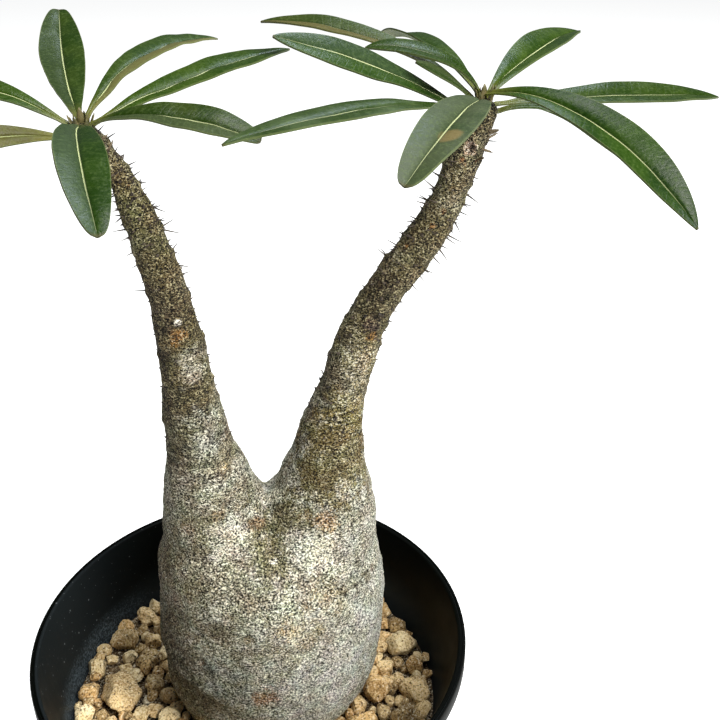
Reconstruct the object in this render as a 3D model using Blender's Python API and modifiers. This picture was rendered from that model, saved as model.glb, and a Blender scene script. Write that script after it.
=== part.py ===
"""Potted pachypodium: a two-branched caudex plant in a round plastic pot, with pumice gravel on top.

Metres, +Z up. The origin is the centre of the pot's foot, and the two branches lie in the XZ plane.
"""

import math

import bmesh
import bpy
from mathutils import Matrix, Vector, noise

MM = 0.001

POT_HEIGHT = 105 * MM
RIM_RADIUS = 60 * MM
LIP_WIDTH = 2.2 * MM
LIP_DEPTH = 5 * MM
WALL = 1.6 * MM
WALL_TAPER = 0.213
FLOOR_TOP = 3.6 * MM
FOOT_RECESS = 2 * MM
FOOT_WIDTH = 4 * MM
PAD_RADIUS = 10 * MM
DRAIN_HOLES = 8
DRAIN_RADIUS = 2.5 * MM
DRAIN_CIRCLE = 22 * MM
TURN_STEPS = 64

GRAVEL_TOP = 79 * MM
GAP = 0.3 * MM

DEPTH_SHARE = 0.92
BODY_VOXEL = 1.4 * MM
BODY_TRIANGLES = 2800
CAVITY_GAP = 0.45 * MM

LEAF_THICKNESS = 0.8 * MM
LEAF_ROWS = 12
PETIOLE_SHARE = 0.14
LEAF_SEAT_GAP = 0.5 * MM
TIP_HALF_WIDTH = 0.35 * MM

# The caudex: height over the rim, centre x and radius, in millimetres, from its crown to its buried foot
CAUDEX = (
    (43, 7, 3),
    (41.5, 7, 10),
    (39, 7, 17),
    (35, 7, 22.5),
    (28, 6.5, 28),
    (20, 6.5, 30.5),
    (13, 6.3, 31.6),
    (5, 6, 31.9),
    (-3, 5.4, 32),
    (-9, 4.2, 31.2),
    (-15, 2.3, 29),
    (-20, 0.7, 25.4),
    (-25, -0.5, 20.5),
    (-30, -0.5, 15.5),
    (-35, 0, 10),
    (-38, 0, 4),
)

# A branch: x, height over the rim and radius, in millimetres, from the caudex up to its growing tip
LEFT_BRANCH = (
    (3.5, 2, 28),
    (0, 20, 23.5),
    (-5.3, 40, 15.5),
    (-8, 53, 11.2),
    (-9.5, 62, 8.4),
    (-10.6, 73, 7.1),
    (-11, 82, 6.1),
    (-11.6, 92, 5.5),
    (-13, 103, 4.5),
    (-15.5, 114, 4.1),
    (-18, 123, 3.7),
    (-20.5, 131, 2.9),
    (-23, 135.5, 2.8),
    (-27, 140.5, 2.9),
)
RIGHT_BRANCH = (
    (9, 2, 28),
    (13, 20, 24),
    (19, 40, 16.6),
    (21.5, 53, 11),
    (23.4, 64, 8),
    (26, 75, 6.1),
    (29, 84, 5.7),
    (32.5, 93.5, 5),
    (38.5, 103.5, 4.4),
    (44, 111, 4.4),
    (49, 119, 4.2),
    (52, 126, 3.8),
    (54.5, 134, 3.8),
    (57.5, 142, 3.3),
)


def rim_point(x, height, y=0.0):
    """A point given in millimetres from the centre of the rim."""
    return Vector((x * MM, y * MM, POT_HEIGHT + height * MM))


LEFT_CROWN = (rim_point(-27, 140.5), 2.9 * MM)
RIGHT_CROWN = (rim_point(57.5, 142.2), 3.3 * MM)

# One row for each leaf. Angles are in degrees and lengths in millimetres:
# name, crown, bearing, seat, sweep, rise, droop, bend, length, width, roll, twist, fold
LEAVES = (
    ("left_leaf_back", LEFT_CROWN, 104, 45, -10, 6, -18, 1.0, 56, 10.5, 0, 5, 15),
    ("left_leaf_back_right", LEFT_CROWN, 63, 55, -10, 37, 48, 0.6, 55, 9.5, -5, 5, 15),
    ("left_leaf_right", LEFT_CROWN, 34, 35, 5, 16, 16, 1.0, 55, 10, 5, -5, 15),
    ("left_leaf_low_right", LEFT_CROWN, -22, 50, 0, 19, 39, 0.8, 37, 9.5, 15, 0, 15),
    ("left_leaf_front", LEFT_CROWN, -87, 35, 10, 20, 48, 1.0, 55, 9.5, -10, 0, 15),
    ("left_leaf_left", LEFT_CROWN, 157, 30, 0, 29, 55, 1.0, 57, 10, -10, 0, 15),
    ("left_leaf_low_left", LEFT_CROWN, 205, 0, 0, 13, 40, 1.0, 55, 10, -40, 0, 15),
    ("right_leaf_back_left", RIGHT_CROWN, 150, 52, -5, 43, 47, 0.6, 54, 10, 0, -10, 15),
    ("right_leaf_inner", RIGHT_CROWN, 168, 78, 0, 73, 84, 0.6, 28, 8.6, -5, -5, 5),
    ("right_leaf_left", RIGHT_CROWN, 191, 5, 0, 31, 16, 1.0, 46, 10, -25, -5, 5),
    ("right_leaf_low_left", RIGHT_CROWN, 210, 20, 0, 12, 19, 1.0, 62, 10, -10, 15, 10),
    ("right_leaf_front", RIGHT_CROWN, -108, 35, -20, 17, 39, 1.2, 58, 10.5, -10, 5, 15),
    ("right_leaf_back_right", RIGHT_CROWN, 52, 45, -5, 13, 15, 1.2, 55, 11, 5, 0, 20),
    ("right_leaf_right", RIGHT_CROWN, 6, 22, 5, 2, 9, 1.0, 57, 10, 10, 0, 15),
    ("right_leaf_upper_right", RIGHT_CROWN, -48, 80, 5, 22, 72, 0.6, 56, 11, 15, -5, 30),
    ("right_leaf_lower_right", RIGHT_CROWN, -14, 0, 0, 29, 78, 0.6, 40, 9.5, 25, 5, 15),
    ("right_leaf_young", RIGHT_CROWN, 200, 45, -5, 54, 34, 0.6, 17, 4.6, -25, 0, 5),
    ("right_leaf_back", RIGHT_CROWN, 107, 60, -10, 34, 49, 0.6, 56, 9.5, 15, -10, 15),
)

# One row for each large top stone, in millimetres: x, y, width, depth, height, colour
STONES = (
    (-39, 2, 11.6, 13, 7, "tan"),
    (-39, 24.5, 9.5, 8.5, 6, "tan"),
    (-46.5, 14, 6, 7, 5, "cream"),
    (-48, 5, 6, 7, 5, "ochre"),
    (-48.5, -3.5, 5.5, 6, 4.5, "cream"),
    (-32, 15.5, 7.5, 6, 5, "brown"),
    (-30.5, 23, 5, 5, 4.5, "tan"),
    (-33, 34, 6, 6, 5, "tan"),
    (-27, 36, 4, 4, 4, "ochre"),
    (-38.5, 12.5, 4, 4, 4, "cream"),
    (-25, -8, 5.5, 6, 4.5, "cream"),
    (-29.5, 5.5, 5, 8, 5, "brown"),
    (-43, -14, 7, 7, 5.5, "ochre"),
    (-33, -10.5, 7, 6.5, 5, "tan"),
    (42.5, 24.5, 4.2, 6, 4.5, "tan"),
    (45.5, 18, 6, 5, 5, "brown"),
    (45.5, 9, 11, 8, 6, "cream"),
    (39, 1.5, 5.5, 6, 4.5, "tan"),
    (48, 0.5, 5.5, 6, 5, "ochre"),
    (46, -8.5, 8.5, 9, 6, "tan"),
    (34.5, -7, 6.5, 9.5, 5.5, "ochre"),
    (41, -17.5, 8, 7.5, 6, "brown"),
    (29, -18.5, 8.5, 8, 6, "ochre"),
    (35, -27, 8, 7, 5.5, "tan"),
    (20, -29, 9, 8, 6, "tan"),
    (8, -36, 8, 9, 5.5, "brown"),
    (-6, -31, 9, 7, 5.5, "ochre"),
    (-18, -37, 8, 8, 6, "tan"),
    (-29, -26, 9, 8, 6, "cream"),
    (-17, 35, 8, 7, 5.5, "ochre"),
    (-4, 40, 9, 7, 6, "tan"),
    (9, 33, 7, 8, 5.5, "cream"),
    (22, 38, 8, 8, 6, "brown"),
    (34, 28, 8, 7, 5.5, "tan"),
)

PLASTIC_BLACK = (0.012, 0.013, 0.015)
GRAVEL_BROWN = (0.16, 0.115, 0.075)
BARK_GREY = (0.29, 0.265, 0.225)
LEAF_GREEN = (0.035, 0.085, 0.022)
STONE_COLOURS = {
    "tan": (0.42, 0.31, 0.19),
    "cream": (0.62, 0.54, 0.40),
    "ochre": (0.40, 0.22, 0.09),
    "brown": (0.20, 0.12, 0.065),
}


def clear_scene():
    for old in list(bpy.data.objects):
        bpy.data.objects.remove(old, do_unlink=True)


def new_collection(name):
    collection = bpy.data.collections.new(name)
    bpy.context.scene.collection.children.link(collection)
    return collection


def material(name, colour, roughness):
    made = bpy.data.materials.new(name)
    made.use_nodes = True
    shader = made.node_tree.nodes["Principled BSDF"]
    shader.inputs["Base Color"].default_value = (*colour, 1.0)
    shader.inputs["Roughness"].default_value = roughness
    shader.inputs["Metallic"].default_value = 0.0
    return made


def mesh_object(name, mesh, collection, finish=None):
    made = bpy.data.objects.new(name, mesh)
    collection.objects.link(made)
    if finish:
        mesh.materials.clear()
        mesh.materials.append(finish)
    return made


def take_primitive(name, collection, finish):
    """Names the primitive just added, moves it to its collection and gives it its material."""
    made = bpy.context.object
    made.name = name
    made.data.name = name
    for holder in list(made.users_collection):
        holder.objects.unlink(made)
    collection.objects.link(made)
    made.data.materials.append(finish)
    return made


def apply_modifiers(thing):
    """Makes the object's evaluated shape its mesh."""
    graph = bpy.context.evaluated_depsgraph_get()
    shaped = bpy.data.meshes.new_from_object(thing.evaluated_get(graph))
    thing.modifiers.clear()
    thing.data = shaped


def turned(name, profile, collection, finish):
    """A profile of (radius, height) points turned round the Z axis."""
    mesh = bpy.data.meshes.new(name)
    points = [(radius, 0.0, height) for radius, height in profile]
    mesh.from_pydata(points, [(i, i + 1) for i in range(len(points) - 1)], [])
    made = mesh_object(name, mesh, collection, finish)
    screw = made.modifiers.new("turn", "SCREW")
    screw.steps = TURN_STEPS
    screw.render_steps = TURN_STEPS
    screw.use_merge_vertices = True
    screw.merge_threshold = 0.00001
    screw.use_smooth_shade = True
    apply_modifiers(made)
    made.data.set_sharp_from_angle(angle=math.radians(30))
    return made


def inner_radius(height):
    """The pot's inside radius at a height over the table."""
    return RIM_RADIUS - LIP_WIDTH - WALL_TAPER * (POT_HEIGHT - height)


def make_pot(parts, cutters):
    edge = 0.5 * MM
    foot_radius = inner_radius(0) + WALL + edge
    wall_top = POT_HEIGHT - LIP_DEPTH
    profile = [
        (0, FLOOR_TOP),
        (inner_radius(FLOOR_TOP) - 2 * MM, FLOOR_TOP),
        (inner_radius(FLOOR_TOP + 2 * MM), FLOOR_TOP + 2 * MM),
        (inner_radius(POT_HEIGHT - edge), POT_HEIGHT - edge),
        (RIM_RADIUS - LIP_WIDTH + edge, POT_HEIGHT),
        (RIM_RADIUS - edge, POT_HEIGHT),
        (RIM_RADIUS, POT_HEIGHT - edge),
        (RIM_RADIUS, wall_top + edge),
        (RIM_RADIUS - edge, wall_top),
        (inner_radius(wall_top) + WALL, wall_top),
        (foot_radius, edge),
        (foot_radius - edge, 0),
        (foot_radius - FOOT_WIDTH, 0),
        (foot_radius - FOOT_WIDTH - edge, FOOT_RECESS),
        (PAD_RADIUS + edge, FOOT_RECESS),
        (PAD_RADIUS, 0),
        (0, 0),
    ]
    pot = turned("pot", profile, parts, material("pot", PLASTIC_BLACK, 0.35))
    drills = bpy.data.meshes.new("drain_drills")
    shape = bmesh.new()
    for index in range(DRAIN_HOLES):
        angle = (index + 0.5) * math.tau / DRAIN_HOLES
        drill = bmesh.ops.create_cone(
            shape,
            cap_ends=True,
            segments=12,
            radius1=DRAIN_RADIUS,
            radius2=DRAIN_RADIUS,
            depth=4 * FLOOR_TOP,
        )
        centre = Vector((math.cos(angle) * DRAIN_CIRCLE, math.sin(angle) * DRAIN_CIRCLE, FLOOR_TOP))
        bmesh.ops.translate(shape, verts=drill["verts"], vec=centre)
    shape.to_mesh(drills)
    shape.free()
    cutter = mesh_object("drain_drills", drills, cutters)
    cutter.display_type = "WIRE"
    cutter.hide_render = True
    holes = pot.modifiers.new("drain_holes", "BOOLEAN")
    holes.operation = "DIFFERENCE"
    holes.object = cutter


def tube(name, stations, collection):
    """A round body through stations of (x, height, radius), made a closed mesh."""
    curve = bpy.data.curves.new(name, "CURVE")
    curve.dimensions = "3D"
    curve.bevel_depth = MM
    curve.bevel_resolution = 6
    curve.resolution_u = 6
    curve.use_fill_caps = True
    spline = curve.splines.new("BEZIER")
    spline.radius_interpolation = "CARDINAL"
    spline.bezier_points.add(len(stations) - 1)
    for point, (x, height, radius) in zip(spline.bezier_points, stations):
        point.co = rim_point(x, height)
        point.handle_left_type = "AUTO"
        point.handle_right_type = "AUTO"
        point.radius = radius
    guide = bpy.data.objects.new(name, curve)
    collection.objects.link(guide)
    graph = bpy.context.evaluated_depsgraph_get()
    mesh = bpy.data.meshes.new_from_object(guide.evaluated_get(graph))
    shape = bmesh.new()
    shape.from_mesh(mesh)
    bmesh.ops.remove_doubles(shape, verts=shape.verts, dist=0.00001)
    bmesh.ops.recalc_face_normals(shape, faces=shape.faces)
    shape.to_mesh(mesh)
    shape.free()
    made = bpy.data.objects.new(name + "_mesh", mesh)
    made.matrix_world = guide.matrix_world
    collection.objects.link(made)
    bpy.data.objects.remove(guide)
    return made


def with_dome(stations):
    """Adds the rounded growing tip to a branch."""
    (x0, z0, _), (x1, z1, radius) = stations[-2:]
    heading = Vector((x1 - x0, z1 - z0)).normalized()
    rounded = list(stations)
    for degrees in (30, 55, 75):
        angle = math.radians(degrees)
        step = heading * radius * math.sin(angle)
        rounded.append((x1 + step.x, z1 + step.y, radius * math.cos(angle)))
    return rounded


def make_plant_body(parts, cutters):
    """The caudex and both branches, grown as one piece."""
    upwards = [(x, height, radius) for height, x, radius in reversed(CAUDEX)]
    caudex = tube("caudex", upwards, cutters)
    caudex.data.transform(Matrix.Scale(DEPTH_SHARE, 4, (0, 1, 0)))
    left = tube("left_branch", with_dome(LEFT_BRANCH), cutters)
    right = tube("right_branch", with_dome(RIGHT_BRANCH), cutters)
    body = bmesh.new()
    for piece in (caudex, left, right):
        body.from_mesh(piece.data)
        bpy.data.objects.remove(piece)
    mesh = bpy.data.meshes.new("plant_body")
    body.to_mesh(mesh)
    body.free()
    plant = mesh_object("plant_body", mesh, parts, material("bark", BARK_GREY, 0.8))
    grown = plant.modifiers.new("grown_together", "REMESH")
    grown.mode = "VOXEL"
    grown.voxel_size = BODY_VOXEL
    soft = plant.modifiers.new("soft_joins", "SMOOTH")
    soft.factor = 0.5
    soft.iterations = 3
    apply_modifiers(plant)
    light = plant.modifiers.new("fewer_faces", "DECIMATE")
    light.use_collapse_triangulate = True
    light.ratio = BODY_TRIANGLES / (2 * len(plant.data.polygons))
    apply_modifiers(plant)
    plant.data.shade_smooth()
    return plant


def make_gravel_bed(parts, cutters, plant):
    """The fill of gravel under the top stones, with the hollow that the buried foot sits in."""
    foot = FLOOR_TOP + GAP
    profile = [
        (0, GRAVEL_TOP),
        (inner_radius(GRAVEL_TOP) - GAP, GRAVEL_TOP),
        (inner_radius(foot + 2 * MM) - GAP, foot + 2 * MM),
        (inner_radius(foot) - 2.4 * MM, foot),
        (0, foot),
    ]
    bed = turned("gravel_bed", profile, parts, material("gravel", GRAVEL_BROWN, 0.95))
    cutter = mesh_object("foot_hollow", plant.data.copy(), cutters)
    cutter.display_type = "WIRE"
    cutter.hide_render = True
    swell = cutter.modifiers.new("room", "DISPLACE")
    swell.strength = CAVITY_GAP
    swell.mid_level = 0.0
    hollow = bed.modifiers.new("hollow", "BOOLEAN")
    hollow.operation = "DIFFERENCE"
    hollow.object = cutter


def leaf_half_width(along, width):
    """Half the blade's width at a share of its length: a narrow petiole that opens into a long blade."""
    blade = math.sin(math.pi * along**1.5) ** 0.7 if 0 < along < 1 else 0.0
    petiole = PETIOLE_SHARE * (1 - along) ** 0.3
    return max(width / 2 * max(blade, petiole), TIP_HALF_WIDTH)


def leaf_frames(crown, bearing, seat, sweep, rise, droop, bend, length, roll, twist):
    """The midrib's points, each with the directions across the blade and out of its upper side."""
    centre, radius = crown
    turn, lift = math.radians(bearing), math.radians(seat)
    out = Vector((math.cos(turn) * math.cos(lift), math.sin(turn) * math.cos(lift), math.sin(lift)))
    point = centre + out * (radius + LEAF_SEAT_GAP)
    frames = []
    steps = 4 * LEAF_ROWS
    for step in range(steps + 1):
        along = step / steps
        azimuth = math.radians(bearing + sweep * along)
        pitch = math.radians(rise - droop * along**bend)
        level = math.cos(pitch)
        heading = Vector((math.cos(azimuth) * level, math.sin(azimuth) * level, math.sin(pitch)))
        if step:
            point = point + (heading + last) * 0.5 * length * MM / steps
        last = heading
        across = Vector((-math.sin(azimuth), math.cos(azimuth), 0.0))
        upper = heading.cross(across)
        turned_by = math.radians(roll + twist * along)
        side = across * math.cos(turned_by) + upper * math.sin(turned_by)
        face = upper * math.cos(turned_by) - across * math.sin(turned_by)
        if step % 4 == 0:
            frames.append((along, point.copy(), side, face))
    return frames


def make_leaf(parts, row):
    name, crown, bearing, seat, sweep, rise, droop, bend, length, width, roll, twist, fold = row
    bpy.ops.mesh.primitive_grid_add(x_subdivisions=2, y_subdivisions=LEAF_ROWS, size=2)
    leaf = take_primitive(name, parts, material(name, LEAF_GREEN, 0.3))
    frames = leaf_frames(crown, bearing, seat, sweep, rise, droop, bend, length, roll, twist)
    folded = math.radians(fold)
    for vertex in leaf.data.vertices:
        row = round((vertex.co.y + 1) / 2 * LEAF_ROWS)
        along, point, side, face = frames[row]
        half = leaf_half_width(along, width * MM)
        place = -vertex.co.x
        outwards = side * place * half * math.cos(folded)
        vertex.co = point + outwards + face * abs(place) * half * math.sin(folded)
    leaf.data.update()
    blade = leaf.modifiers.new("blade", "SOLIDIFY")
    blade.thickness = LEAF_THICKNESS
    blade.offset = 0.0
    leaf.data.shade_smooth()


def make_stone(parts, number, x, y, width, depth, height, colour):
    """A worn lump of pumice that rests on the gravel."""
    rest = GRAVEL_TOP + GAP
    centre = Vector((x * MM, y * MM, rest + height * MM * 0.46))
    bpy.ops.mesh.primitive_ico_sphere_add(subdivisions=2, radius=1.0)
    name = f"stone_{number:02d}"
    stone = take_primitive(name, parts, material(name, STONE_COLOURS[colour], 0.9))
    half = Vector((width, depth, height)) * MM / 2
    for vertex in stone.data.vertices:
        lump = 1 + 0.16 * noise.noise(vertex.co * 1.3 + Vector((number * 7.3, number * 2.1, 0.5)))
        placed = centre + vertex.co * half * lump
        placed.z = max(placed.z, rest)
        vertex.co = placed
    stone.data.update()
    stone.data.shade_smooth()


def main():
    clear_scene()
    parts = new_collection("potted_pachypodium")
    cutters = new_collection("cutters")
    make_pot(parts, cutters)
    plant = make_plant_body(parts, cutters)
    make_gravel_bed(parts, cutters, plant)
    for row in LEAVES:
        make_leaf(parts, row)
    for number, row in enumerate(STONES, 1):
        make_stone(parts, number, *row)


main()
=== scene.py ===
"""Looks of the potted pachypodium, built around its CAD frame."""

import math
import random

import bmesh
import bpy
from mathutils import Euler, Matrix, Vector

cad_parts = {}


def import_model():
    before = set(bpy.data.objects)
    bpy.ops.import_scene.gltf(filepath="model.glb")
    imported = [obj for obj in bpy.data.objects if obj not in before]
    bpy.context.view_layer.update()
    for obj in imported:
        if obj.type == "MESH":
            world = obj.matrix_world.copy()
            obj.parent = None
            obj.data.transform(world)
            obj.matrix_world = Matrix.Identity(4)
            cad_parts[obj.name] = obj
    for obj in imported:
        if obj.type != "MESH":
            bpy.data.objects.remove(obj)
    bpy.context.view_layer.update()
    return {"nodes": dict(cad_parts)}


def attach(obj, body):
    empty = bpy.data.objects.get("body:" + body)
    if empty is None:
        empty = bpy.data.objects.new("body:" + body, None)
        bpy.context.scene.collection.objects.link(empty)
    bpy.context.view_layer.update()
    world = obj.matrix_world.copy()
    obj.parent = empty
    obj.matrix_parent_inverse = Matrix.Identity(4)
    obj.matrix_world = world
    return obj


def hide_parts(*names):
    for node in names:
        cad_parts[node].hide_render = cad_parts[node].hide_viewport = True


MM = 0.001
SEED = 14
GOLDEN_TURN = math.radians(137.5)

# The pot over all, its lip, its wall, which widens upwards by a share of the height, and its foot.
POT_HEIGHT = 105 * MM
RIM_RADIUS = 60 * MM
LIP_WIDTH = 2.2 * MM
LIP_DEPTH = 5 * MM
WALL = 1.6 * MM
WALL_TAPER = 0.213
FLOOR_TOP = 3.6 * MM
FOOT_RECESS = 2 * MM
FOOT_WIDTH = 4 * MM
PAD_RADIUS = 10 * MM
POT_SIDES = 144
DRAIN_HOLES = 8
DRAIN_RADIUS = 2.5 * MM
DRAIN_CIRCLE = 22 * MM

# The bed's top and the height that the large stones rest at.
GRAVEL_TOP = 79 * MM
STONE_REST = 79.3 * MM
GRIT_CELLS = 210

# The caudex is this share as deep as it is wide. Tubes are grown, then joined on a grid of voxels.
DEPTH_SHARE = 0.92
TUBE_SIDES = 56
RINGS_PER_STATION = 4
BARK_VOXEL = 0.58 * MM

# Stations of (x, height over the rim, radius) in mm, from the buried foot upwards.
CAUDEX = (
    (0, -38, 4),
    (0, -35, 10),
    (-0.8, -30, 15),
    (-1, -25, 19.5),
    (-0.3, -20, 23.5),
    (1, -15, 26.5),
    (3.6, -9, 29.4),
    (5.3, -3, 30.7),
    (6, 5, 30.8),
    (6.4, 13, 30.5),
    (6.4, 20, 29.8),
    (5.6, 28, 28.6),
    (6.8, 34, 22),
    (7, 37, 16.5),
    (7, 39, 10),
    (7, 40.5, 3),
)
LEFT_BRANCH = (
    (3.5, 2, 28),
    (0.2, 20, 23.3),
    (-6.5, 40, 14.7),
    (-8.4, 53, 10.8),
    (-9.5, 62, 8.4),
    (-10.6, 73, 7.1),
    (-11, 82, 6.1),
    (-11.6, 92, 5.5),
    (-13, 103, 4.5),
    (-15.5, 114, 4.1),
    (-18, 123, 3.7),
    (-20.5, 131, 2.9),
    (-23, 135.5, 2.8),
    (-27, 140.5, 2.9),
)
RIGHT_BRANCH = (
    (8.4, 2, 27.6),
    (12.4, 20, 23.4),
    (20.2, 40, 15.4),
    (22, 53, 10.5),
    (23.4, 64, 8),
    (26, 75, 6.1),
    (29, 84, 5.7),
    (32.5, 93.5, 5),
    (38.5, 103.5, 4.4),
    (44, 111, 4.4),
    (49, 119, 4.2),
    (52, 126, 3.8),
    (54.5, 134, 3.8),
    (57.5, 142, 3.3),
)
LEFT_CROWN = ((-27, 0, 140.5), 2.9)
RIGHT_CROWN = ((57.5, 0, 142.2), 3.3)

# Leaves: name, crown, bearing, seat, sweep, rise, droop, bend, length, width, roll, twist, fold, finish.
# Angles are in degrees, the length and width in mm. The bend is the power that the droop grows with.
LEAVES = (
    ("left_leaf_back", LEFT_CROWN, 104, 45, -10, 6, -18, 1.0, 56, 10.5, 0, 5, 15, "sheen_back"),
    ("left_leaf_back_right", LEFT_CROWN, 63, 55, -10, 38, 48, 0.6, 55, 9.0, 0, 5, 13, "browned_right"),
    ("left_leaf_right", LEFT_CROWN, 34, 35, 5, 16, 16, 1.0, 55, 10, 9, -5, 10, "fresh"),
    ("left_leaf_low_right", LEFT_CROWN, -22, 50, 0, 19, 39, 0.8, 37, 9.5, 15, 0, 13, "olive"),
    ("left_leaf_front", LEFT_CROWN, -87, 35, 10, 20, 48, 1.0, 55, 9.5, -10, 0, 15, "sheen_front"),
    ("left_leaf_left", LEFT_CROWN, 157, 30, 0, 29, 55, 1.0, 57, 10, -14, 0, 11, "fresh"),
    ("left_leaf_low_left", LEFT_CROWN, 205, 0, 0, 13, 40, 1.0, 55, 10, -40, 0, 15, "tan"),
    ("right_leaf_back_left", RIGHT_CROWN, 150, 52, -5, 43, 47, 0.6, 54, 8.0, -4, -10, 12, "browned_left"),
    ("right_leaf_inner", RIGHT_CROWN, 168, 78, 0, 73, 84, 0.6, 28, 8.6, -5, -5, 5, "deep"),
    ("right_leaf_left", RIGHT_CROWN, 191, 5, 0, 31, 16, 1.0, 46, 9.6, -25, -5, 5, "sheen_side"),
    ("right_leaf_low_left", RIGHT_CROWN, 210, 20, 0, 12, 19, 1.0, 62, 8.4, -13, 15, 7, "sheen_low"),
    ("right_leaf_front", RIGHT_CROWN, -108, 35, -20, 17, 39, 1.2, 58, 10.5, -10, 5, 15, "dull"),
    ("right_leaf_back_right", RIGHT_CROWN, 52, 45, -5, 13, 15, 1.2, 55, 11, 5, 0, 20, "fresh"),
    ("right_leaf_right", RIGHT_CROWN, 6, 22, 5, 2, 9, 1.0, 57, 10, 14, 0, 11, "deep"),
    ("right_leaf_upper_right", RIGHT_CROWN, -47, 80, 5, 23, 72, 0.6, 56, 10.8, 24, -5, 18, "glossy"),
    ("right_leaf_lower_right", RIGHT_CROWN, -14, 0, 0, 29, 78, 0.6, 35, 11, 20, 5, 10, "deep"),
    ("right_leaf_young", RIGHT_CROWN, 200, 45, -5, 54, 34, 0.6, 17, 4.6, -25, 0, 5, "olive"),
    ("right_leaf_back", RIGHT_CROWN, 107, 60, -10, 34, 49, 0.6, 56, 9.5, 15, -10, 15, "fresh"),
)
BLUNT_LEAVES = (
    "left_leaf_back",
    "left_leaf_front",
    "left_leaf_low_right",
    "left_leaf_low_left",
    "right_leaf_front",
)
STALKED_LEAVES = ("right_leaf_lower_right",)

# The flat leaf that all leaves are copied from, in mm, and the outline of its blade.
BLANK_LENGTH = 55
BLANK_WIDTH = 10
LEAF_ROWS = 72
LEAF_COLUMNS = 14
PETIOLE_SHARE = 0.14
BLADE_POWER = 0.7
TIP_STARTS = 0.63
LEAF_WAVES = 1.0 * MM
LEAF_THICKNESS = 0.42 * MM

# How far a petiole runs into its crown, in mm.
ROOTED = 1.7

# Leaf finishes: name in LEAVES, upper material, its two greens and roughness, underside.
LEAF_FINISHES = (
    ("deep", "deep_green_leaf", (0.011, 0.030, 0.001), (0.021, 0.044, 0.002), 0.30, "dark"),
    ("fresh", "fresh_green_leaf", (0.013, 0.036, 0.001), (0.026, 0.054, 0.003), 0.30, "green"),
    # The sheen finishes hold painted sheen: a paler half on sheen_front, sheen_back and sheen_side, and on
    # sheen_low a paler second green that is partly its own tone, partly painted sheen.
    ("sheen_front", "front_leaf_painted_sheen", (0.008, 0.026, 0.001), (0.014, 0.036, 0.002), 0.30, "dark"),
    ("sheen_back", "back_leaf_painted_sheen", (0.010, 0.028, 0.001), (0.020, 0.040, 0.003), 0.32, "dark"),
    ("sheen_side", "side_leaf_painted_sheen", (0.011, 0.032, 0.003), (0.020, 0.046, 0.005), 0.30, "dark"),
    ("sheen_low", "low_leaf_painted_sheen", (0.016, 0.036, 0.004), (0.040, 0.066, 0.022), 0.33, "green"),
    ("glossy", "glossy_leaf", (0.008, 0.027, 0.001), (0.018, 0.045, 0.003), 0.32, "green"),
    ("olive", "olive_leaf", (0.011, 0.028, 0.001), (0.022, 0.038, 0.003), 0.33, "olive"),
    ("browned_left", "browned_leaf", (0.020, 0.038, 0.004), (0.032, 0.048, 0.006), 0.36, "olive"),
    ("browned_right", "half_browned_leaf", (0.014, 0.036, 0.003), (0.024, 0.048, 0.005), 0.33, "olive"),
    ("tan", "tan_leaf", (0.058, 0.056, 0.009), (0.080, 0.072, 0.013), 0.42, "tan"),
    ("dull", "dull_green_leaf", (0.026, 0.044, 0.013), (0.046, 0.062, 0.026), 0.42, "dull"),
)
LEAF_UNDERSIDES = {
    "dark": ((0.07, 0.10, 0.03), (0.10, 0.12, 0.04)),
    "green": ((0.09, 0.12, 0.04), (0.12, 0.14, 0.05)),
    "olive": ((0.12, 0.12, 0.04), (0.15, 0.14, 0.05)),
    "tan": ((0.10, 0.09, 0.03), (0.12, 0.11, 0.04)),
    "dull": ((0.11, 0.13, 0.06), (0.14, 0.15, 0.08)),
}

# Finishes with another tint on one half: the half, which is 1 for the left as seen from the crown, then
# its colour and strength. On the three sheen finishes that paler half is a painted reflection.
HALF_TINTS = {
    "sheen_front": (-1, (0.033, 0.054, 0.024), 0.85),
    "sheen_back": (1, (0.024, 0.040, 0.013), 0.80),
    "sheen_side": (-1, (0.026, 0.044, 0.022), 0.60),
    "olive": (-1, (0.040, 0.056, 0.020), 0.70),
    "browned_left": (1, (0.095, 0.080, 0.024), 0.85),
    "browned_right": (-1, (0.11, 0.105, 0.035), 0.85),
    "dull": (-1, (0.050, 0.068, 0.034), 0.55),
}

# Brown blotches: middle as shares of the length and width, radius as a share of the width, colour.
# The aspect is a leaf's length over its width.
BLOTCHES = {"dull": ((0.73, 0.66), 0.25, (0.17, 0.125, 0.045))}
LEAF_ASPECT = 5.5
LEAF_SHINE = 0.20
GLOSSY_SHINE = 0.14

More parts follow.
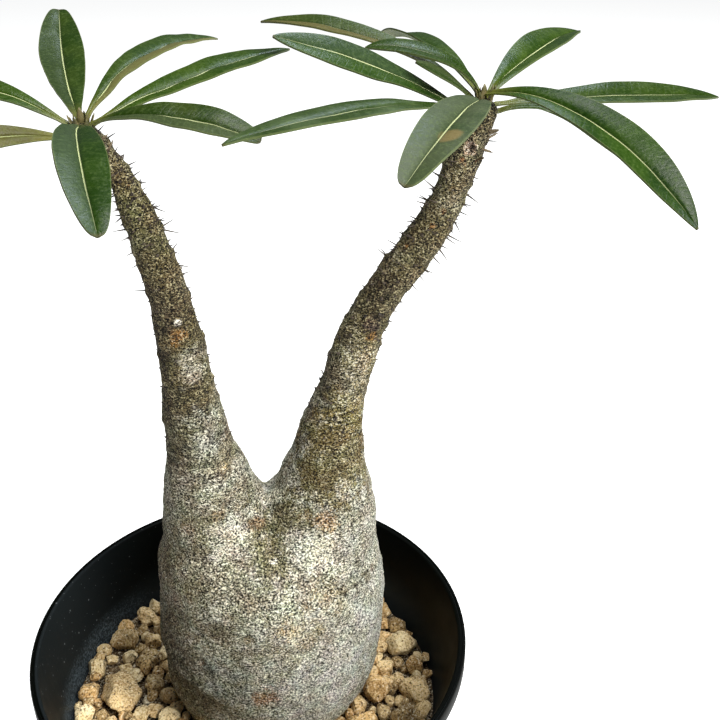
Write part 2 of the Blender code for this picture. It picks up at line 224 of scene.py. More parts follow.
# Spines that stand out on the outline: branch foot and tip as x, height over the rim, then the depth.
SPINES = (
    (-14.0, 124.0, -11.8, 122.8, 0),
    (-13.5, 121.7, -11.8, 121.3, -1),
    (-12.5, 118.9, -8.8, 117.7, 0),
    (-11.4, 113.4, -9.6, 112.4, 1),
    (-10.7, 110.5, -7.6, 109.8, 0),
    (-10.3, 107.8, -9.2, 108.3, -1),
    (-21.9, 122.8, -23.2, 123.0, 0),
    (-21.7, 122.4, -23.0, 121.6, -1),
    (-21.0, 119.5, -24.0, 119.0, 0),
    (-24.4, 138.8, -21.7, 140.6, -1),
    (-21.4, 136.1, -20.3, 138.6, -1),
    (55.9, 123.1, 58.8, 121.1, 0),
    (53.4, 118.3, 54.8, 118.3, 1),
    (53.0, 116.7, 54.7, 114.0, 0),
    (51.7, 114.0, 54.7, 112.3, -1),
    (51.0, 113.3, 53.7, 111.0, 0),
    (50.0, 111.1, 52.4, 109.5, 1),
    (49.6, 110.5, 51.6, 108.0, -1),
    (48.3, 108.5, 50.3, 106.2, 0),
    (45.9, 121.8, 43.0, 122.6, 0),
    (45.7, 122.0, 44.5, 123.2, -1),
    (43.7, 118.1, 42.1, 118.6, 1),
    (43.5, 117.6, 41.0, 118.2, 0),
    (43.2, 117.1, 40.3, 117.3, -1),
    (41.9, 114.3, 39.9, 115.1, 0),
    (38.7, 111.2, 37.0, 111.6, 0),
    (38.5, 109.8, 36.9, 109.8, -1),
    (36.9, 108.9, 35.5, 108.4, 0),
)

# Top stones: x, y, width, depth, height in mm, colour.
STONES = (
    (-39, 2, 10.2, 15, 7, "tan"),
    (-39, 24.5, 9.5, 8.5, 6, "tan"),
    (-46.5, 14, 6, 7, 5, "cream"),
    (-48, 5, 6, 7, 5, "ochre"),
    (-48.5, -3.5, 5.5, 6, 4.5, "cream"),
    (-32, 15.5, 7.5, 6, 5, "brown"),
    (-30.5, 23, 5, 5, 4.5, "tan"),
    (-33, 34, 6, 6, 5, "tan"),
    (-27, 36, 4, 4, 4, "ochre"),
    (-38.5, 12.5, 4, 4, 4, "cream"),
    (-25, -8, 5.5, 6, 4.5, "cream"),
    (-29.5, 5.5, 5, 8, 5, "brown"),
    (-43, -14, 7, 7, 5.5, "ochre"),
    (-33, -10.5, 7, 6.5, 5, "tan"),
    (42.5, 24.5, 4.2, 6, 4.5, "tan"),
    (45.5, 18, 6, 5, 5, "brown"),
    (45.5, 9, 11, 8, 6, "cream"),
    (39, 1.5, 5.5, 6, 4.5, "tan"),
    (48, 0.5, 5.5, 6, 5, "ochre"),
    (46, -8.5, 8.5, 9, 6, "tan"),
    (34.5, -7, 6.5, 9.5, 5.5, "ochre"),
    (41, -17.5, 8, 7.5, 6, "brown"),
    (29, -18.5, 8.5, 8, 6, "ochre"),
    (35, -27, 8, 7, 5.5, "tan"),
    (20, -29, 9, 8, 6, "tan"),
    (8, -36, 8, 9, 5.5, "brown"),
    (-6, -31, 9, 7, 5.5, "ochre"),
    (-18, -37, 8, 8, 6, "tan"),
    (-29, -26, 9, 8, 6, "cream"),
    (-17, 35, 8, 7, 5.5, "ochre"),
    (-4, 40, 9, 7, 6, "tan"),
    (9, 33, 7, 8, 5.5, "cream"),
    (22, 38, 8, 8, 6, "brown"),
    (34, 28, 8, 7, 5.5, "tan"),
)

# Stones turned about the upright by these degrees, by their number.
STONE_TURNS = {1: -22, 15: 20, 20: 35, 24: -30}

# A lump is drawn this much larger than its stone, then chipped down at these shares of its reach.
STONE_SWELL = 1.18
STONE_CHIPS = 10
FACET_REACH = (0.56, 0.84)
# A stone's middle lies at this share of its height, and this many voxels span its width.
STONE_MIDDLE = 0.46
STONE_VOXELS = 24

# Breadth and height of the lumps on a stone, in mm.
STONE_LUMPS = ((2.2, 0.7), (0.7, 0.30))

# Pumice: its two tints and its pores.
PUMICE = {
    "tan": ((0.74, 0.56, 0.30), (0.58, 0.40, 0.19), (0.13, 0.075, 0.03)),
    "cream": ((0.86, 0.72, 0.45), (0.74, 0.58, 0.32), (0.24, 0.14, 0.05)),
    "ochre": ((0.62, 0.42, 0.19), (0.46, 0.28, 0.11), (0.09, 0.05, 0.02)),
    "brown": ((0.44, 0.31, 0.14), (0.28, 0.185, 0.08), (0.05, 0.03, 0.015)),
    "pale": ((0.94, 0.90, 0.78), (0.84, 0.78, 0.60), (0.34, 0.28, 0.18)),
}
# The grit's tints and pores, far darker than the stones: partly its own tone, partly painted shade in the
# gaps between the stones.
GRIT_PAINTED_GAP_SHADE = ((0.13, 0.085, 0.04), (0.06, 0.04, 0.02), (0.012, 0.009, 0.006))

# Dried curls: foot as x, y, height over the rim in mm, then length, bearing and rise.
CURLS = (
    (57.8, -2.6, 138.0, 3.4, -20, 20),
    (58.3, -2.2, 136.6, 2.8, -10, 45),
    (57.2, -3.0, 134.8, 2.6, -35, -25),
    (58.0, -1.8, 139.6, 3.0, 10, 35),
    (56.4, -3.1, 139.2, 2.4, -80, 40),
    (53.6, -3.2, 139.4, 2.6, 215, 15),
    (55.0, -3.4, 137.6, 2.2, -110, -30),
    (56.6, -3.2, 132.6, 2.4, -60, 10),
    (52.4, -2.6, 136.6, 2.6, 200, 30),
    (-23.6, -2.0, 139.5, 2.6, -20, 55),
    (-22.6, -1.8, 137.2, 2.8, -15, 40),
    (-24.6, -2.6, 138.5, 2.2, -60, 30),
)
SCALES = 13

# Knobs and stubs: the station they start from and the way between two of them along the branch, in mm.
KNOBS_FROM = 4.2
KNOBS_APART = 0.8
STUBS_APART = 0.42
# The smallest and largest knob in mm, and the share of its size that it sinks into the branch.
KNOB_SIZES = (0.95, 1.45)
KNOB_SUNK = 0.38

# Shortest and longest spines in mm. Long ones start at this share of a branch, and the outline, where
# the listed spines stand, has fewer of them.
LONG_SPINES_FROM = 0.62
LONG_SPINE = (1.6, 3.8)
SHORT_SPINE = (0.4, 1.2)
WORN_SPINE = (0.4, 0.7)
LONG_ON_OUTLINE = 0.30
LONG_ELSEWHERE = 0.75

# One spine from its foot to its tip: rise, lean and how much narrower it gets.
SPINE_STEPS = (
    (0.10, 0.0, 0.55),
    (0.22, 0.10, 0.78),
    (0.25, 0.25, 0.78),
    (0.25, 0.45, 0.65),
    (0.26, 0.7, 0.2),
)

# Small stones that fill the top dressing: colour, how many, smallest and largest width in mm.
SMALL_STONES = (
    ("tan", 150, 2.6, 6.0),
    ("ochre", 75, 2.4, 5.0),
    ("cream", 80, 2.4, 5.4),
    ("brown", 60, 2.2, 5.0),
    ("pale", 12, 2.4, 3.8),
)
CHIP_SHAPES = 7
CHIP_CUTS = 9

# Each small stone tries this many places within a radius in mm, sinks a little between the stones under
# it, and stays below the top of the heap, in mm over the floor.
SETTLE_TRIES = 30
BED_REACH = 54
NESTING = 0.86
HEAP_TOP = 87.5

# Over these heights the bark turns from grey to brown, and over these places it pales to the right:
# partly its paler skin, partly painted light on the lit right side.
BARK_BROWNS = (155 * MM, 195 * MM)
BARK_PALES = (-22 * MM, 26 * MM)

# Over these heights the level creases round the fork begin and end.
CREASES_BEGIN = (150 * MM, 170 * MM)
CREASES_END = (215 * MM, 195 * MM)

# Breadth and height of the bark's lumps, in mm.
BARK_LUMPS = ((13, 1.5), (4.5, 0.7), (1.3, 0.38))

# Patches on the bark: x, y, height over the rim, radius in mm, colour, strength.
PATCHES = (
    (25, -8, 61, 15, (0.20, 0.155, 0.052), 0.85),
    (27, -6, 72, 8, (0.26, 0.200, 0.072), 0.80),
    (18, -10, 55, 9, (0.15, 0.125, 0.055), 0.65),
    (8, -13, 46, 10, (0.105, 0.092, 0.034), 0.80),
    (6, -17, 38, 8, (0.15, 0.140, 0.060), 0.70),
    # These four darken the left of the caudex: partly its browner skin, partly painted shade.
    (-14, -14, 33, 14, (0.17, 0.145, 0.095), 0.50),
    (-23, -8, 20, 19, (0.215, 0.168, 0.105), 0.60),
    (-20, -14, 5, 14, (0.225, 0.182, 0.125), 0.50),
    (-18, -10, 56, 9, (0.17, 0.140, 0.095), 0.50),
    (17, -17, 38, 6.5, (0.60, 0.58, 0.50), 0.75),
    (11, -16, 42, 5, (0.56, 0.54, 0.46), 0.60),
    (-4.5, -14, 42, 6.5, (0.56, 0.54, 0.44), 0.65),
    (8, -17, 39, 1.5, (0.86, 0.84, 0.78), 0.90),
    (32, -14, 10, 17, (0.42, 0.43, 0.40), 0.50),
    (18, -27, -1, 17, (0.52, 0.53, 0.49), 0.65),
    (-10, -25, 6, 9, (0.24, 0.27, 0.24), 0.45),
    (12, -27, 22, 7, (0.40, 0.31, 0.17), 0.50),
    (20, -22, 28, 6, (0.38, 0.29, 0.15), 0.45),
    # These four paint the shadow of the crease that DENTS presses in.
    (33.5, -11, 26.2, 2.2, (0.15, 0.115, 0.065), 0.65),
    (30.3, -14, 26.4, 2.0, (0.16, 0.125, 0.070), 0.60),
    (27.0, -17, 26.8, 2.0, (0.16, 0.125, 0.070), 0.55),
    (23.3, -19.8, 27.0, 2.0, (0.18, 0.14, 0.080), 0.50),
    (20.0, -13.5, 45.0, 3.6, (0.37, 0.25, 0.125), 0.95),
    (3.5, -9.5, 44.5, 2.6, (0.26, 0.165, 0.085), 0.70),
    (20.4, -21.7, 28.7, 2.2, (0.36, 0.22, 0.10), 0.65),
    (9.6, -27.0, 21.7, 3.2, (0.44, 0.33, 0.15), 0.60),
    (6.4, -17.0, 37.4, 1.5, (0.90, 0.88, 0.80), 0.80),
    (22.4, -21.6, 25.6, 1.8, (0.62, 0.60, 0.50), 0.60),
    (18.0, -24.2, 24.4, 1.8, (0.62, 0.60, 0.50), 0.60),
    (14.2, -25.9, 22.4, 1.8, (0.62, 0.60, 0.50), 0.55),
    (10.4, -27.2, 19.6, 1.8, (0.62, 0.60, 0.50), 0.50),
    (14.5, -12.5, 46.5, 2.0, (0.30, 0.19, 0.09), 0.60),
    (-6, -11.5, 49, 2.4, (0.25, 0.155, 0.075), 0.60),
    (-14, -9, 45, 3.0, (0.34, 0.26, 0.15), 0.55),
    (-3.9, -7.6, 59.7, 1.4, (0.66, 0.53, 0.26), 0.90),
    (1.9, -28.7, 1.8, 4.0, (0.44, 0.255, 0.145), 0.85),
    (-13.8, -22.2, 10.2, 1.6, (0.40, 0.28, 0.17), 0.70),
    (-0.7, -26.5, 21.2, 1.6, (0.26, 0.16, 0.09), 0.60),
    (-11.6, -5.2, 98.8, 1.2, (0.90, 0.86, 0.74), 1.00),
    (-11.9, -5.3, 95.0, 2.6, (0.27, 0.145, 0.040), 0.85),
    (-10, -7, 79.4, 4.5, (0.080, 0.064, 0.034), 0.65),
    (-15.2, -5, 78.1, 3.8, (0.055, 0.045, 0.026), 0.70),
    # These two pale the right half of the left branch: partly its paler skin, partly a painted lit side.
    (-8, -6.5, 87, 6.0, (0.37, 0.34, 0.25), 0.78),
    (-7.0, -8, 70, 8, (0.34, 0.345, 0.275), 0.70),
    # These eight darken the left edge of the left branch: partly its brown skin, partly painted shade.
    (-14, -7, 66, 6, (0.13, 0.105, 0.060), 0.50),
    (-14, -4, 103, 7, (0.088, 0.064, 0.042), 0.70),
    (-16.5, -2, 96, 4, (0.070, 0.050, 0.034), 0.75),
    (-16.8, -3, 90, 4, (0.070, 0.050, 0.034), 0.75),
    (-17.5, -4, 84, 4, (0.080, 0.058, 0.036), 0.70),
    (-19, -5, 72, 5, (0.090, 0.066, 0.038), 0.65),
    (-20, -6, 64, 5, (0.090, 0.066, 0.038), 0.60),
    (-21, -5, 112, 6, (0.090, 0.060, 0.030), 0.50),
    (-17, -4, 116, 5, (0.110, 0.100, 0.045), 0.50),
    (-19, -3, 126, 5, (0.120, 0.110, 0.045), 0.50),
    (36, -4.5, 104, 4, (0.055, 0.040, 0.028), 0.70),
    (33.5, -5.5, 99, 3.5, (0.065, 0.046, 0.030), 0.70),
    (22, -8, 66, 5, (0.140, 0.105, 0.036), 0.70),
    (18, -7, 55, 6, (0.140, 0.108, 0.040), 0.60),
    (21.5, -4, 76.5, 3.0, (0.065, 0.050, 0.030), 0.55),
    # This pale spot on the right branch is a painted highlight.
    (27.0, -5.8, 76.0, 2.8, (0.42, 0.38, 0.24), 0.50),
    (30.0, -6.0, 85.0, 6.5, (0.38, 0.32, 0.19), 0.78),
    (33.0, -4.5, 95.0, 2.4, (0.07, 0.040, 0.040), 0.80),
    (33.0, -4.8, 91.0, 1.5, (0.36, 0.19, 0.06), 0.70),
    (33.0, -3.0, 99.0, 5.0, (0.10, 0.080, 0.045), 0.55),
    (54.6, -3.6, 135.2, 1.9, (0.50, 0.33, 0.24), 0.80),
    (54.6, -3.8, 135.2, 0.9, (0.012, 0.008, 0.006), 1.00),
    (52.9, -3.4, 132.3, 1.1, (0.22, 0.08, 0.03), 0.80),
    (55.8, -3.2, 132.3, 1.0, (0.22, 0.08, 0.03), 0.80),
    (49.2, -3.9, 121.0, 0.9, (0.26, 0.12, 0.05), 0.70),
    (46.6, -3.8, 118.0, 0.8, (0.30, 0.14, 0.05), 0.70),
    (40.7, -3.0, 113.1, 0.9, (0.42, 0.22, 0.06), 0.70),
    (-22.0, -2.3, 136.3, 0.9, (0.014, 0.010, 0.007), 1.00),
    (-18.8, -3.0, 130.2, 0.9, (0.20, 0.10, 0.05), 0.70),
    (-27, 0, 143, 6, (0.055, 0.050, 0.020), 0.85),
    (57.5, 0, 145.5, 6, (0.055, 0.050, 0.020), 0.85),
)

# Dents and bumps of the bark: x, y, height over the rim, radius and depth in mm; a bump has a minus.
DENTS = (
    (20.0, -13.5, 45.0, 3.2, 0.6),
    (22.4, -21.6, 25.6, 2.0, -0.35),
    (18.0, -24.2, 24.4, 2.0, -0.35),
    (14.2, -25.9, 22.4, 2.0, -0.35),
    (-3.9, -7.6, 59.7, 1.5, -0.7),
    (-13.8, -22.2, 10.2, 1.8, 0.7),
    (-0.7, -26.5, 21.2, 1.3, 0.5),
    (-11.6, -5.2, 98.8, 1.4, -0.5),
    (54.6, -3.6, 135.2, 1.3, 0.9),
    (-22.0, -2.3, 136.3, 1.2, 0.8),
    (1.9, -28.7, 1.8, 3.0, 0.4),
    (33.0, -11.0, 26.2, 2.4, 0.8),
    (29.8, -14.0, 26.4, 2.4, 0.8),
    (26.5, -16.9, 26.8, 2.4, 0.8),
    (22.8, -19.7, 27.0, 2.4, 0.7),
    (19.4, -21.7, 27.3, 2.2, 0.5),
    (22.0, -6.0, 86.0, 2.4, -0.5),
)

# A dent is pressed in three steps: share of its radius, share of its depth.
PRESS_STEPS = ((1.0, 0.35), (0.75, 0.35), (0.45, 0.3))

# Soft lights: place, aim, size in metres, power in watts, colour.
LIGHTS = (
    ("front_right_softbox", (0.60, -0.74, 1.00), (0.02, 0, 0.15), 0.55, 21.5, (1.0, 0.98, 0.93)),
    ("overhead_softbox", (0.12, 0.00, 1.20), (0.02, 0, 0.15), 0.5, 9.0, (1.0, 1.0, 0.98)),
    ("back_window", (0.46, 0.78, 1.28), (0.0, 0, 0.20), 0.34, 4.5, (0.78, 0.90, 1.0)),
    ("right_window", (1.15, 0.25, 0.45), (0.0, 0, 0.20), 0.35, 2.4, (0.90, 0.96, 1.0)),
)
AIR_LIGHT = 0.12
FLOOR_GLOW = 0.75


def deselect_all():
    bpy.ops.object.select_all(action="DESELECT")


def make_active(piece):
    deselect_all()
    piece.select_set(True)
    bpy.context.view_layer.objects.active = piece


def new_piece(name):
    """Names the object that an operator has just added."""
    piece = bpy.context.object
    piece.name = name
    piece.data.name = name
    return piece


def edit(piece):
    make_active(piece)
    bpy.ops.object.mode_set(mode="EDIT")
    bpy.ops.mesh.select_mode(type="VERT")


def leave_edit():
    bpy.ops.object.mode_set(mode="OBJECT")


def select_where(piece, passes):
    """Selects, in edit mode, the vertices whose place passes."""
    shape = bmesh.from_edit_mesh(piece.data)
    for vertex in shape.verts:
        vertex.select = passes(vertex.co)
    shape.select_flush_mode()
    bmesh.update_edit_mesh(piece.data)


def settle_place(piece):
    """Puts the place, turn and size of an object into its mesh."""
    make_active(piece)
    bpy.ops.object.transform_apply(location=True, rotation=True, scale=True)


def apply_modifiers(piece):
    make_active(piece)
    for modifier in list(piece.modifiers):
        bpy.ops.object.modifier_apply(modifier=modifier.name)


def join(pieces, name):
    deselect_all()
    for piece in pieces:
        piece.select_set(True)
    bpy.context.view_layer.objects.active = pieces[0]
    bpy.ops.object.join()
    return new_piece(name)


def copy_of(blank, name, placing):
    """A copy of a blank with its own mesh, placed by a matrix."""
    mesh = blank.data.copy()
    mesh.transform(placing)
    made = bpy.data.objects.new(name, mesh)
    bpy.context.collection.objects.link(made)
    return made


def remove_piece(piece):
    bpy.data.objects.remove(piece, do_unlink=True)


def lumps(piece, kind, size, strength, depth=2, middle=0.5):
    """Displaces a piece along its normals by a procedural texture."""
    texture = bpy.data.textures.new(f"{piece.name}_{kind.lower()}", kind)
    texture.noise_scale = size
    if kind == "CLOUDS":
        texture.noise_depth = depth
    modifier = piece.modifiers.new("lumps", "DISPLACE")
    modifier.texture = texture
    modifier.texture_coords = "LOCAL"
    modifier.strength = strength
    modifier.mid_level = middle
    return modifier


def finish_piece(piece, slot, material, *nodes):
    piece.data.materials.clear()
    piece.data.materials.append(material)
    declare(piece, slot, *nodes)


def declare(piece, slot, *nodes):
    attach(piece, "root")
    if nodes:
        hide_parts(*nodes)


def rim_point(x, height, y=0.0):
    """A point given in mm, with its height over the pot's rim."""
    return Vector((x * MM, y * MM, POT_HEIGHT + height * MM))


# Materials


def node(tree, kind, values=None, **settings):
    made = tree.nodes.new("ShaderNode" + kind)
    for name, value in settings.items():
        setattr(made, name, value)
    for name, value in (values or {}).items():
        socket = made.inputs[name]
        if isinstance(value, bpy.types.NodeSocket):
            tree.links.new(value, socket)
        else:
            socket.default_value = value
    return made


def math_node(tree, operation, first, second=0.0):
    return node(tree, "Math", {0: first, 1: second}, operation=operation).outputs[0]


def times(tree, first, second):
    return math_node(tree, "MULTIPLY", first, second)


def plus(tree, first, second):
    return math_node(tree, "ADD", first, second)


def vector_math(tree, operation, values, output="Value"):
    return node(tree, "VectorMath", values, operation=operation).outputs[output]


def remap(tree, value, low, high, to_low=0.0, to_high=1.0):
    """A smooth step of a value from one range to another."""
    values = {"Value": value, "From Min": low, "From Max": high, "To Min": to_low, "To Max": to_high}
    return node(tree, "MapRange", values, interpolation_type="SMOOTHSTEP").outputs["Result"]


def mix(tree, factor, first, second, blend="MIX"):
    first = (*first, 1.0) if isinstance(first, tuple) else first
    second = (*second, 1.0) if isinstance(second, tuple) else second
    made = node(tree, "Mix", {0: factor, 6: first, 7: second}, data_type="RGBA", blend_type=blend)
    return made.outputs[2]


def lay(tree, colour, tint, mask, strength):
    """Lays a tint over a colour where its mask is, at a strength."""
    return mix(tree, times(tree, mask, strength), colour, tint)


def noise(tree, vector, scale, detail=3.0, roughness=0.55):
    values = {"Vector": vector, "Scale": scale, "Detail": detail, "Roughness": roughness}
    return node(tree, "TexNoise", values).outputs["Fac"]


def cells(tree, vector, scale):
    return node(tree, "TexVoronoi", {"Vector": vector, "Scale": scale}, feature="F1")


def brightness(tree, colour):
    return node(tree, "SeparateColor", {0: colour}).outputs[0]


def bump(tree, height, distance, strength=1.0):
    values = {"Height": height, "Distance": distance, "Strength": strength}
    return node(tree, "Bump", values).outputs["Normal"]


def new_material(name, colour):
    made = bpy.data.materials.new(name)
    made.use_nodes = True
    made.diffuse_color = (*colour, 1)
    tree = made.node_tree
    shader = tree.nodes["Principled BSDF"]
    place = tree.nodes.new("ShaderNodeTexCoord").outputs["Object"]
    return made, tree, shader, place


def new_group(name, takes, gives):
    """A shared effect: a node group with named inputs and outputs."""
    tree = bpy.data.node_groups.new(name, "ShaderNodeTree")
    for label, kind, value in takes:
        socket = tree.interface.new_socket(label, in_out="INPUT", socket_type="NodeSocket" + kind)
        if value is not None:
            socket.default_value = value
    for label, kind in gives:
        tree.interface.new_socket(label, in_out="OUTPUT", socket_type="NodeSocket" + kind)
    return tree, tree.nodes.new("NodeGroupInput").outputs, tree.nodes.new("NodeGroupOutput").inputs


def use_group(tree, group, values):
    made = tree.nodes.new("ShaderNodeGroup")
    made.node_tree = group
    for name, value in values.items():
        if isinstance(value, bpy.types.NodeSocket):
            tree.links.new(value, made.inputs[name])
        else:
            made.inputs[name].default_value = value
    return made.outputs


def make_grain_group():
    """Light grains on a dark ground, as on bark and pumice: a grain mask and a random shade for each grain.
    """
    takes = [("Vector", "Vector", None), ("Scale", "Float", 1000.0), ("Size", "Float", 0.5)]
    tree, given, result = new_group("light_grains", takes, [("Grain", "Float"), ("Shade", "Float")])
    grain = cells(tree, given["Vector"], given["Scale"])
    inner = times(tree, given["Size"], 0.35)
    mask = remap(tree, grain.outputs["Distance"], inner, given["Size"], 1.0, 0.0)
    tree.links.new(mask, result["Grain"])
    tree.links.new(brightness(tree, grain.outputs["Color"]), result["Shade"])
    return tree


def make_patch_group():
    """A ragged round patch at a place on the surface."""
    takes = [
        ("Vector", "Vector", None),
        ("Centre", "Vector", (0.0, 0.0, 0.0)),
        ("Radius", "Float", 0.01),
        ("Rags", "Float", 0.0),
    ]
    tree, given, result = new_group("ragged_patch", takes, [("Mask", "Float")])
    away = node(tree, "VectorMath", {0: given["Vector"], 1: given["Centre"]}, operation="DISTANCE")
    rags = times(tree, given["Rags"], given["Radius"])
    ragged = plus(tree, away.outputs["Value"], rags)
    inner = times(tree, given["Radius"], 0.55)
    tree.links.new(remap(tree, ragged, inner, given["Radius"], 1.0, 0.0), result["Mask"])
    return tree


def make_dust_group():
    """Sparse pale specks of dust."""
    takes = [("Vector", "Vector", None), ("Scale", "Float", 900.0), ("Amount", "Float", 0.1)]
    tree, given, result = new_group("dust_specks", takes, [("Mask", "Float")])
    speck = cells(tree, given["Vector"], given["Scale"])
    small = remap(tree, speck.outputs["Distance"], 0.10, 0.24, 1.0, 0.0)
    kept = math_node(tree, "LESS_THAN", brightness(tree, speck.outputs["Color"]), given["Amount"])
    tree.links.new(times(tree, small, kept), result["Mask"])
    return tree


def bark_tones(tree, place, patch):
    """The bark's colour: grey below, paler to the right, brown above the fork, and its patches; the paler
    right and some patches are partly painted light and shade.
    """
    split = node(tree, "SeparateXYZ", {0: place})
    wide = noise(tree, place, 60, 5, 0.6)
    crust = noise(tree, place, 150, 7, 0.72)
    hue = node(tree, "TexNoise", {"Vector": place, "Scale": 210.0, "Detail": 4.0}).outputs["Color"]
    upward = remap(tree, split.outputs["Z"], *BARK_BROWNS)
    paler_and_lit_right = remap(tree, split.outputs["X"], *BARK_PALES)
    tone = mix(tree, remap(tree, wide, 0.36, 0.64), (0.18, 0.158, 0.095), (0.33, 0.318, 0.225))
    tone = lay(tree, tone, (0.42, 0.42, 0.36), paler_and_lit_right, 0.5)
    brown = mix(tree, remap(tree, wide, 0.38, 0.62), (0.098, 0.074, 0.028), (0.18, 0.148, 0.068))
    tone = lay(tree, tone, brown, upward, 0.9)
    rags = math_node(tree, "SUBTRACT", noise(tree, place, 330, 6, 0.75), 0.5)
    rags = times(tree, rags, 3.2)
    for x, y, height, radius, tint, strength in PATCHES:
        centre = rim_point(x, height, y)[:]
        values = {"Vector": place, "Centre": centre, "Radius": radius * MM, "Rags": rags}
        tone = lay(tree, tone, tint, use_group(tree, patch, values)["Mask"], strength)
    crusted = mix(tree, remap(tree, crust, 0.42, 0.58), (0.84, 0.80, 0.72), (1.10, 1.12, 1.14))
    tone = mix(tree, 1.0, tone, crusted, "MULTIPLY")
    return mix(tree, 0.20, tone, hue, "OVERLAY")


def bark_creases(tree, place):
    """Fine level creases, only round the foot of both branches."""
    height = node(tree, "SeparateXYZ", {0: place}).outputs["Z"]
    bands = node(tree, "Mapping", {"Vector": place, "Scale": (0.20, 0.20, 1.0)}).outputs[0]
    wrinkle = remap(tree, noise(tree, bands, 700, 3), 0.47, 0.38)
    near_fork = times(tree, remap(tree, height, *CREASES_BEGIN), remap(tree, height, *CREASES_END))
    return times(tree, wrinkle, near_fork)


def bark_material(grains, patch):
    """Brown to olive bark under a dense scatter of pale flecks, thicker where the skin is silvery."""
    made, tree, shader, place = new_material("silver_bark", (0.3, 0.27, 0.22))
    tone = bark_tones(tree, place, patch)
    crease = bark_creases(tree, place)
    middle = noise(tree, place, 330, 4, 0.6)
    level = node(tree, "Mapping", {"Vector": place, "Scale": (0.88, 0.88, 1.30)}).outputs[0]
    salt = noise(tree, level, 2050, 2.0, 0.8)
    pits = noise(tree, level, 2300, 1.5, 0.7)
    small = use_group(tree, grains, {"Vector": place, "Scale": 1250.0, "Size": 0.55})
    paleness = node(tree, "RGBToBW", {0: tone}).outputs[0]
    thick = remap(tree, paleness, 0.04, 0.50, -0.020, 0.040)
    grit = times(tree, small["Grain"], times(tree, small["Shade"], 0.13))
    speck = plus(tree, plus(tree, salt, grit), thick)
    speck = plus(tree, speck, times(tree, middle, 0.10))
    # Fewer pale flecks in the creases darken them: painted shade.
    speck = math_node(tree, "SUBTRACT", speck, times(tree, crease, 0.08))
    depth = remap(tree, pits, 0.39, 0.57, 1.34, 0.03)
    ground = vector_math(tree, "SCALE", {0: tone, "Scale": depth}, "Vector")
    fleck = vector_math(tree, "SCALE", {0: tone, "Scale": 2.1}, "Vector")
    cream = mix(tree, remap(tree, paleness, 0.06, 0.30), (0.60, 0.53, 0.30), (0.95, 0.93, 0.82))
    fleck = mix(tree, 0.58, fleck, cream)
    colour = mix(tree, remap(tree, speck, 0.626, 0.668), ground, fleck)
    tree.links.new(colour, shader.inputs["Base Color"])
    tree.links.new(remap(tree, speck, 0.55, 0.75, 0.85, 0.55), shader.inputs["Roughness"])
    shader.inputs["Specular IOR Level"].default_value = 0.25
    height = times(tree, crease, -1.6)
    height = plus(tree, height, times(tree, speck, 1.2))
    height = plus(tree, height, times(tree, middle, 1.6))
    tree.links.new(bump(tree, height, 0.40 * MM), shader.inputs["Normal"])
    return made


def leaf_veins(tree, along, across, wide):
    """Faint side veins that run forward from the midrib to both edges."""
    phase = plus(tree, times(tree, across, -6.0), times(tree, along, 165.0))
    phase = plus(tree, phase, times(tree, wide, 9.0))
    return remap(tree, math_node(tree, "SINE", phase), 0.70, 1.0)


def leaf_blotch(tree, place, along, side_to_side, centre, radius):
    """The mask of one ragged round blotch, with its centre as shares of the length and of the width."""
    spot = node(tree, "CombineXYZ", {0: times(tree, along, LEAF_ASPECT), 1: side_to_side}).outputs[0]
    middle = (centre[0] * LEAF_ASPECT, centre[1], 0.0)
    away = vector_math(tree, "DISTANCE", {0: spot, 1: middle})
    away = plus(tree, away, times(tree, noise(tree, place, 420, 4), 0.5 * radius))
    return remap(tree, away, radius * 1.35, radius * 0.9)


def leaf_midrib(tree, along, across):
    """The mask of the pale midrib, broad at the petiole and thin towards the tip."""
    half_width = remap(tree, along, 0.0, 0.45, 0.15, 0.018)
    outer = plus(tree, half_width, 0.030)
    values = {"Value": across, "From Min": half_width, "From Max": outer, "To Min": 1.0, "To Max": 0.0}
    return node(tree, "MapRange", values).outputs["Result"]


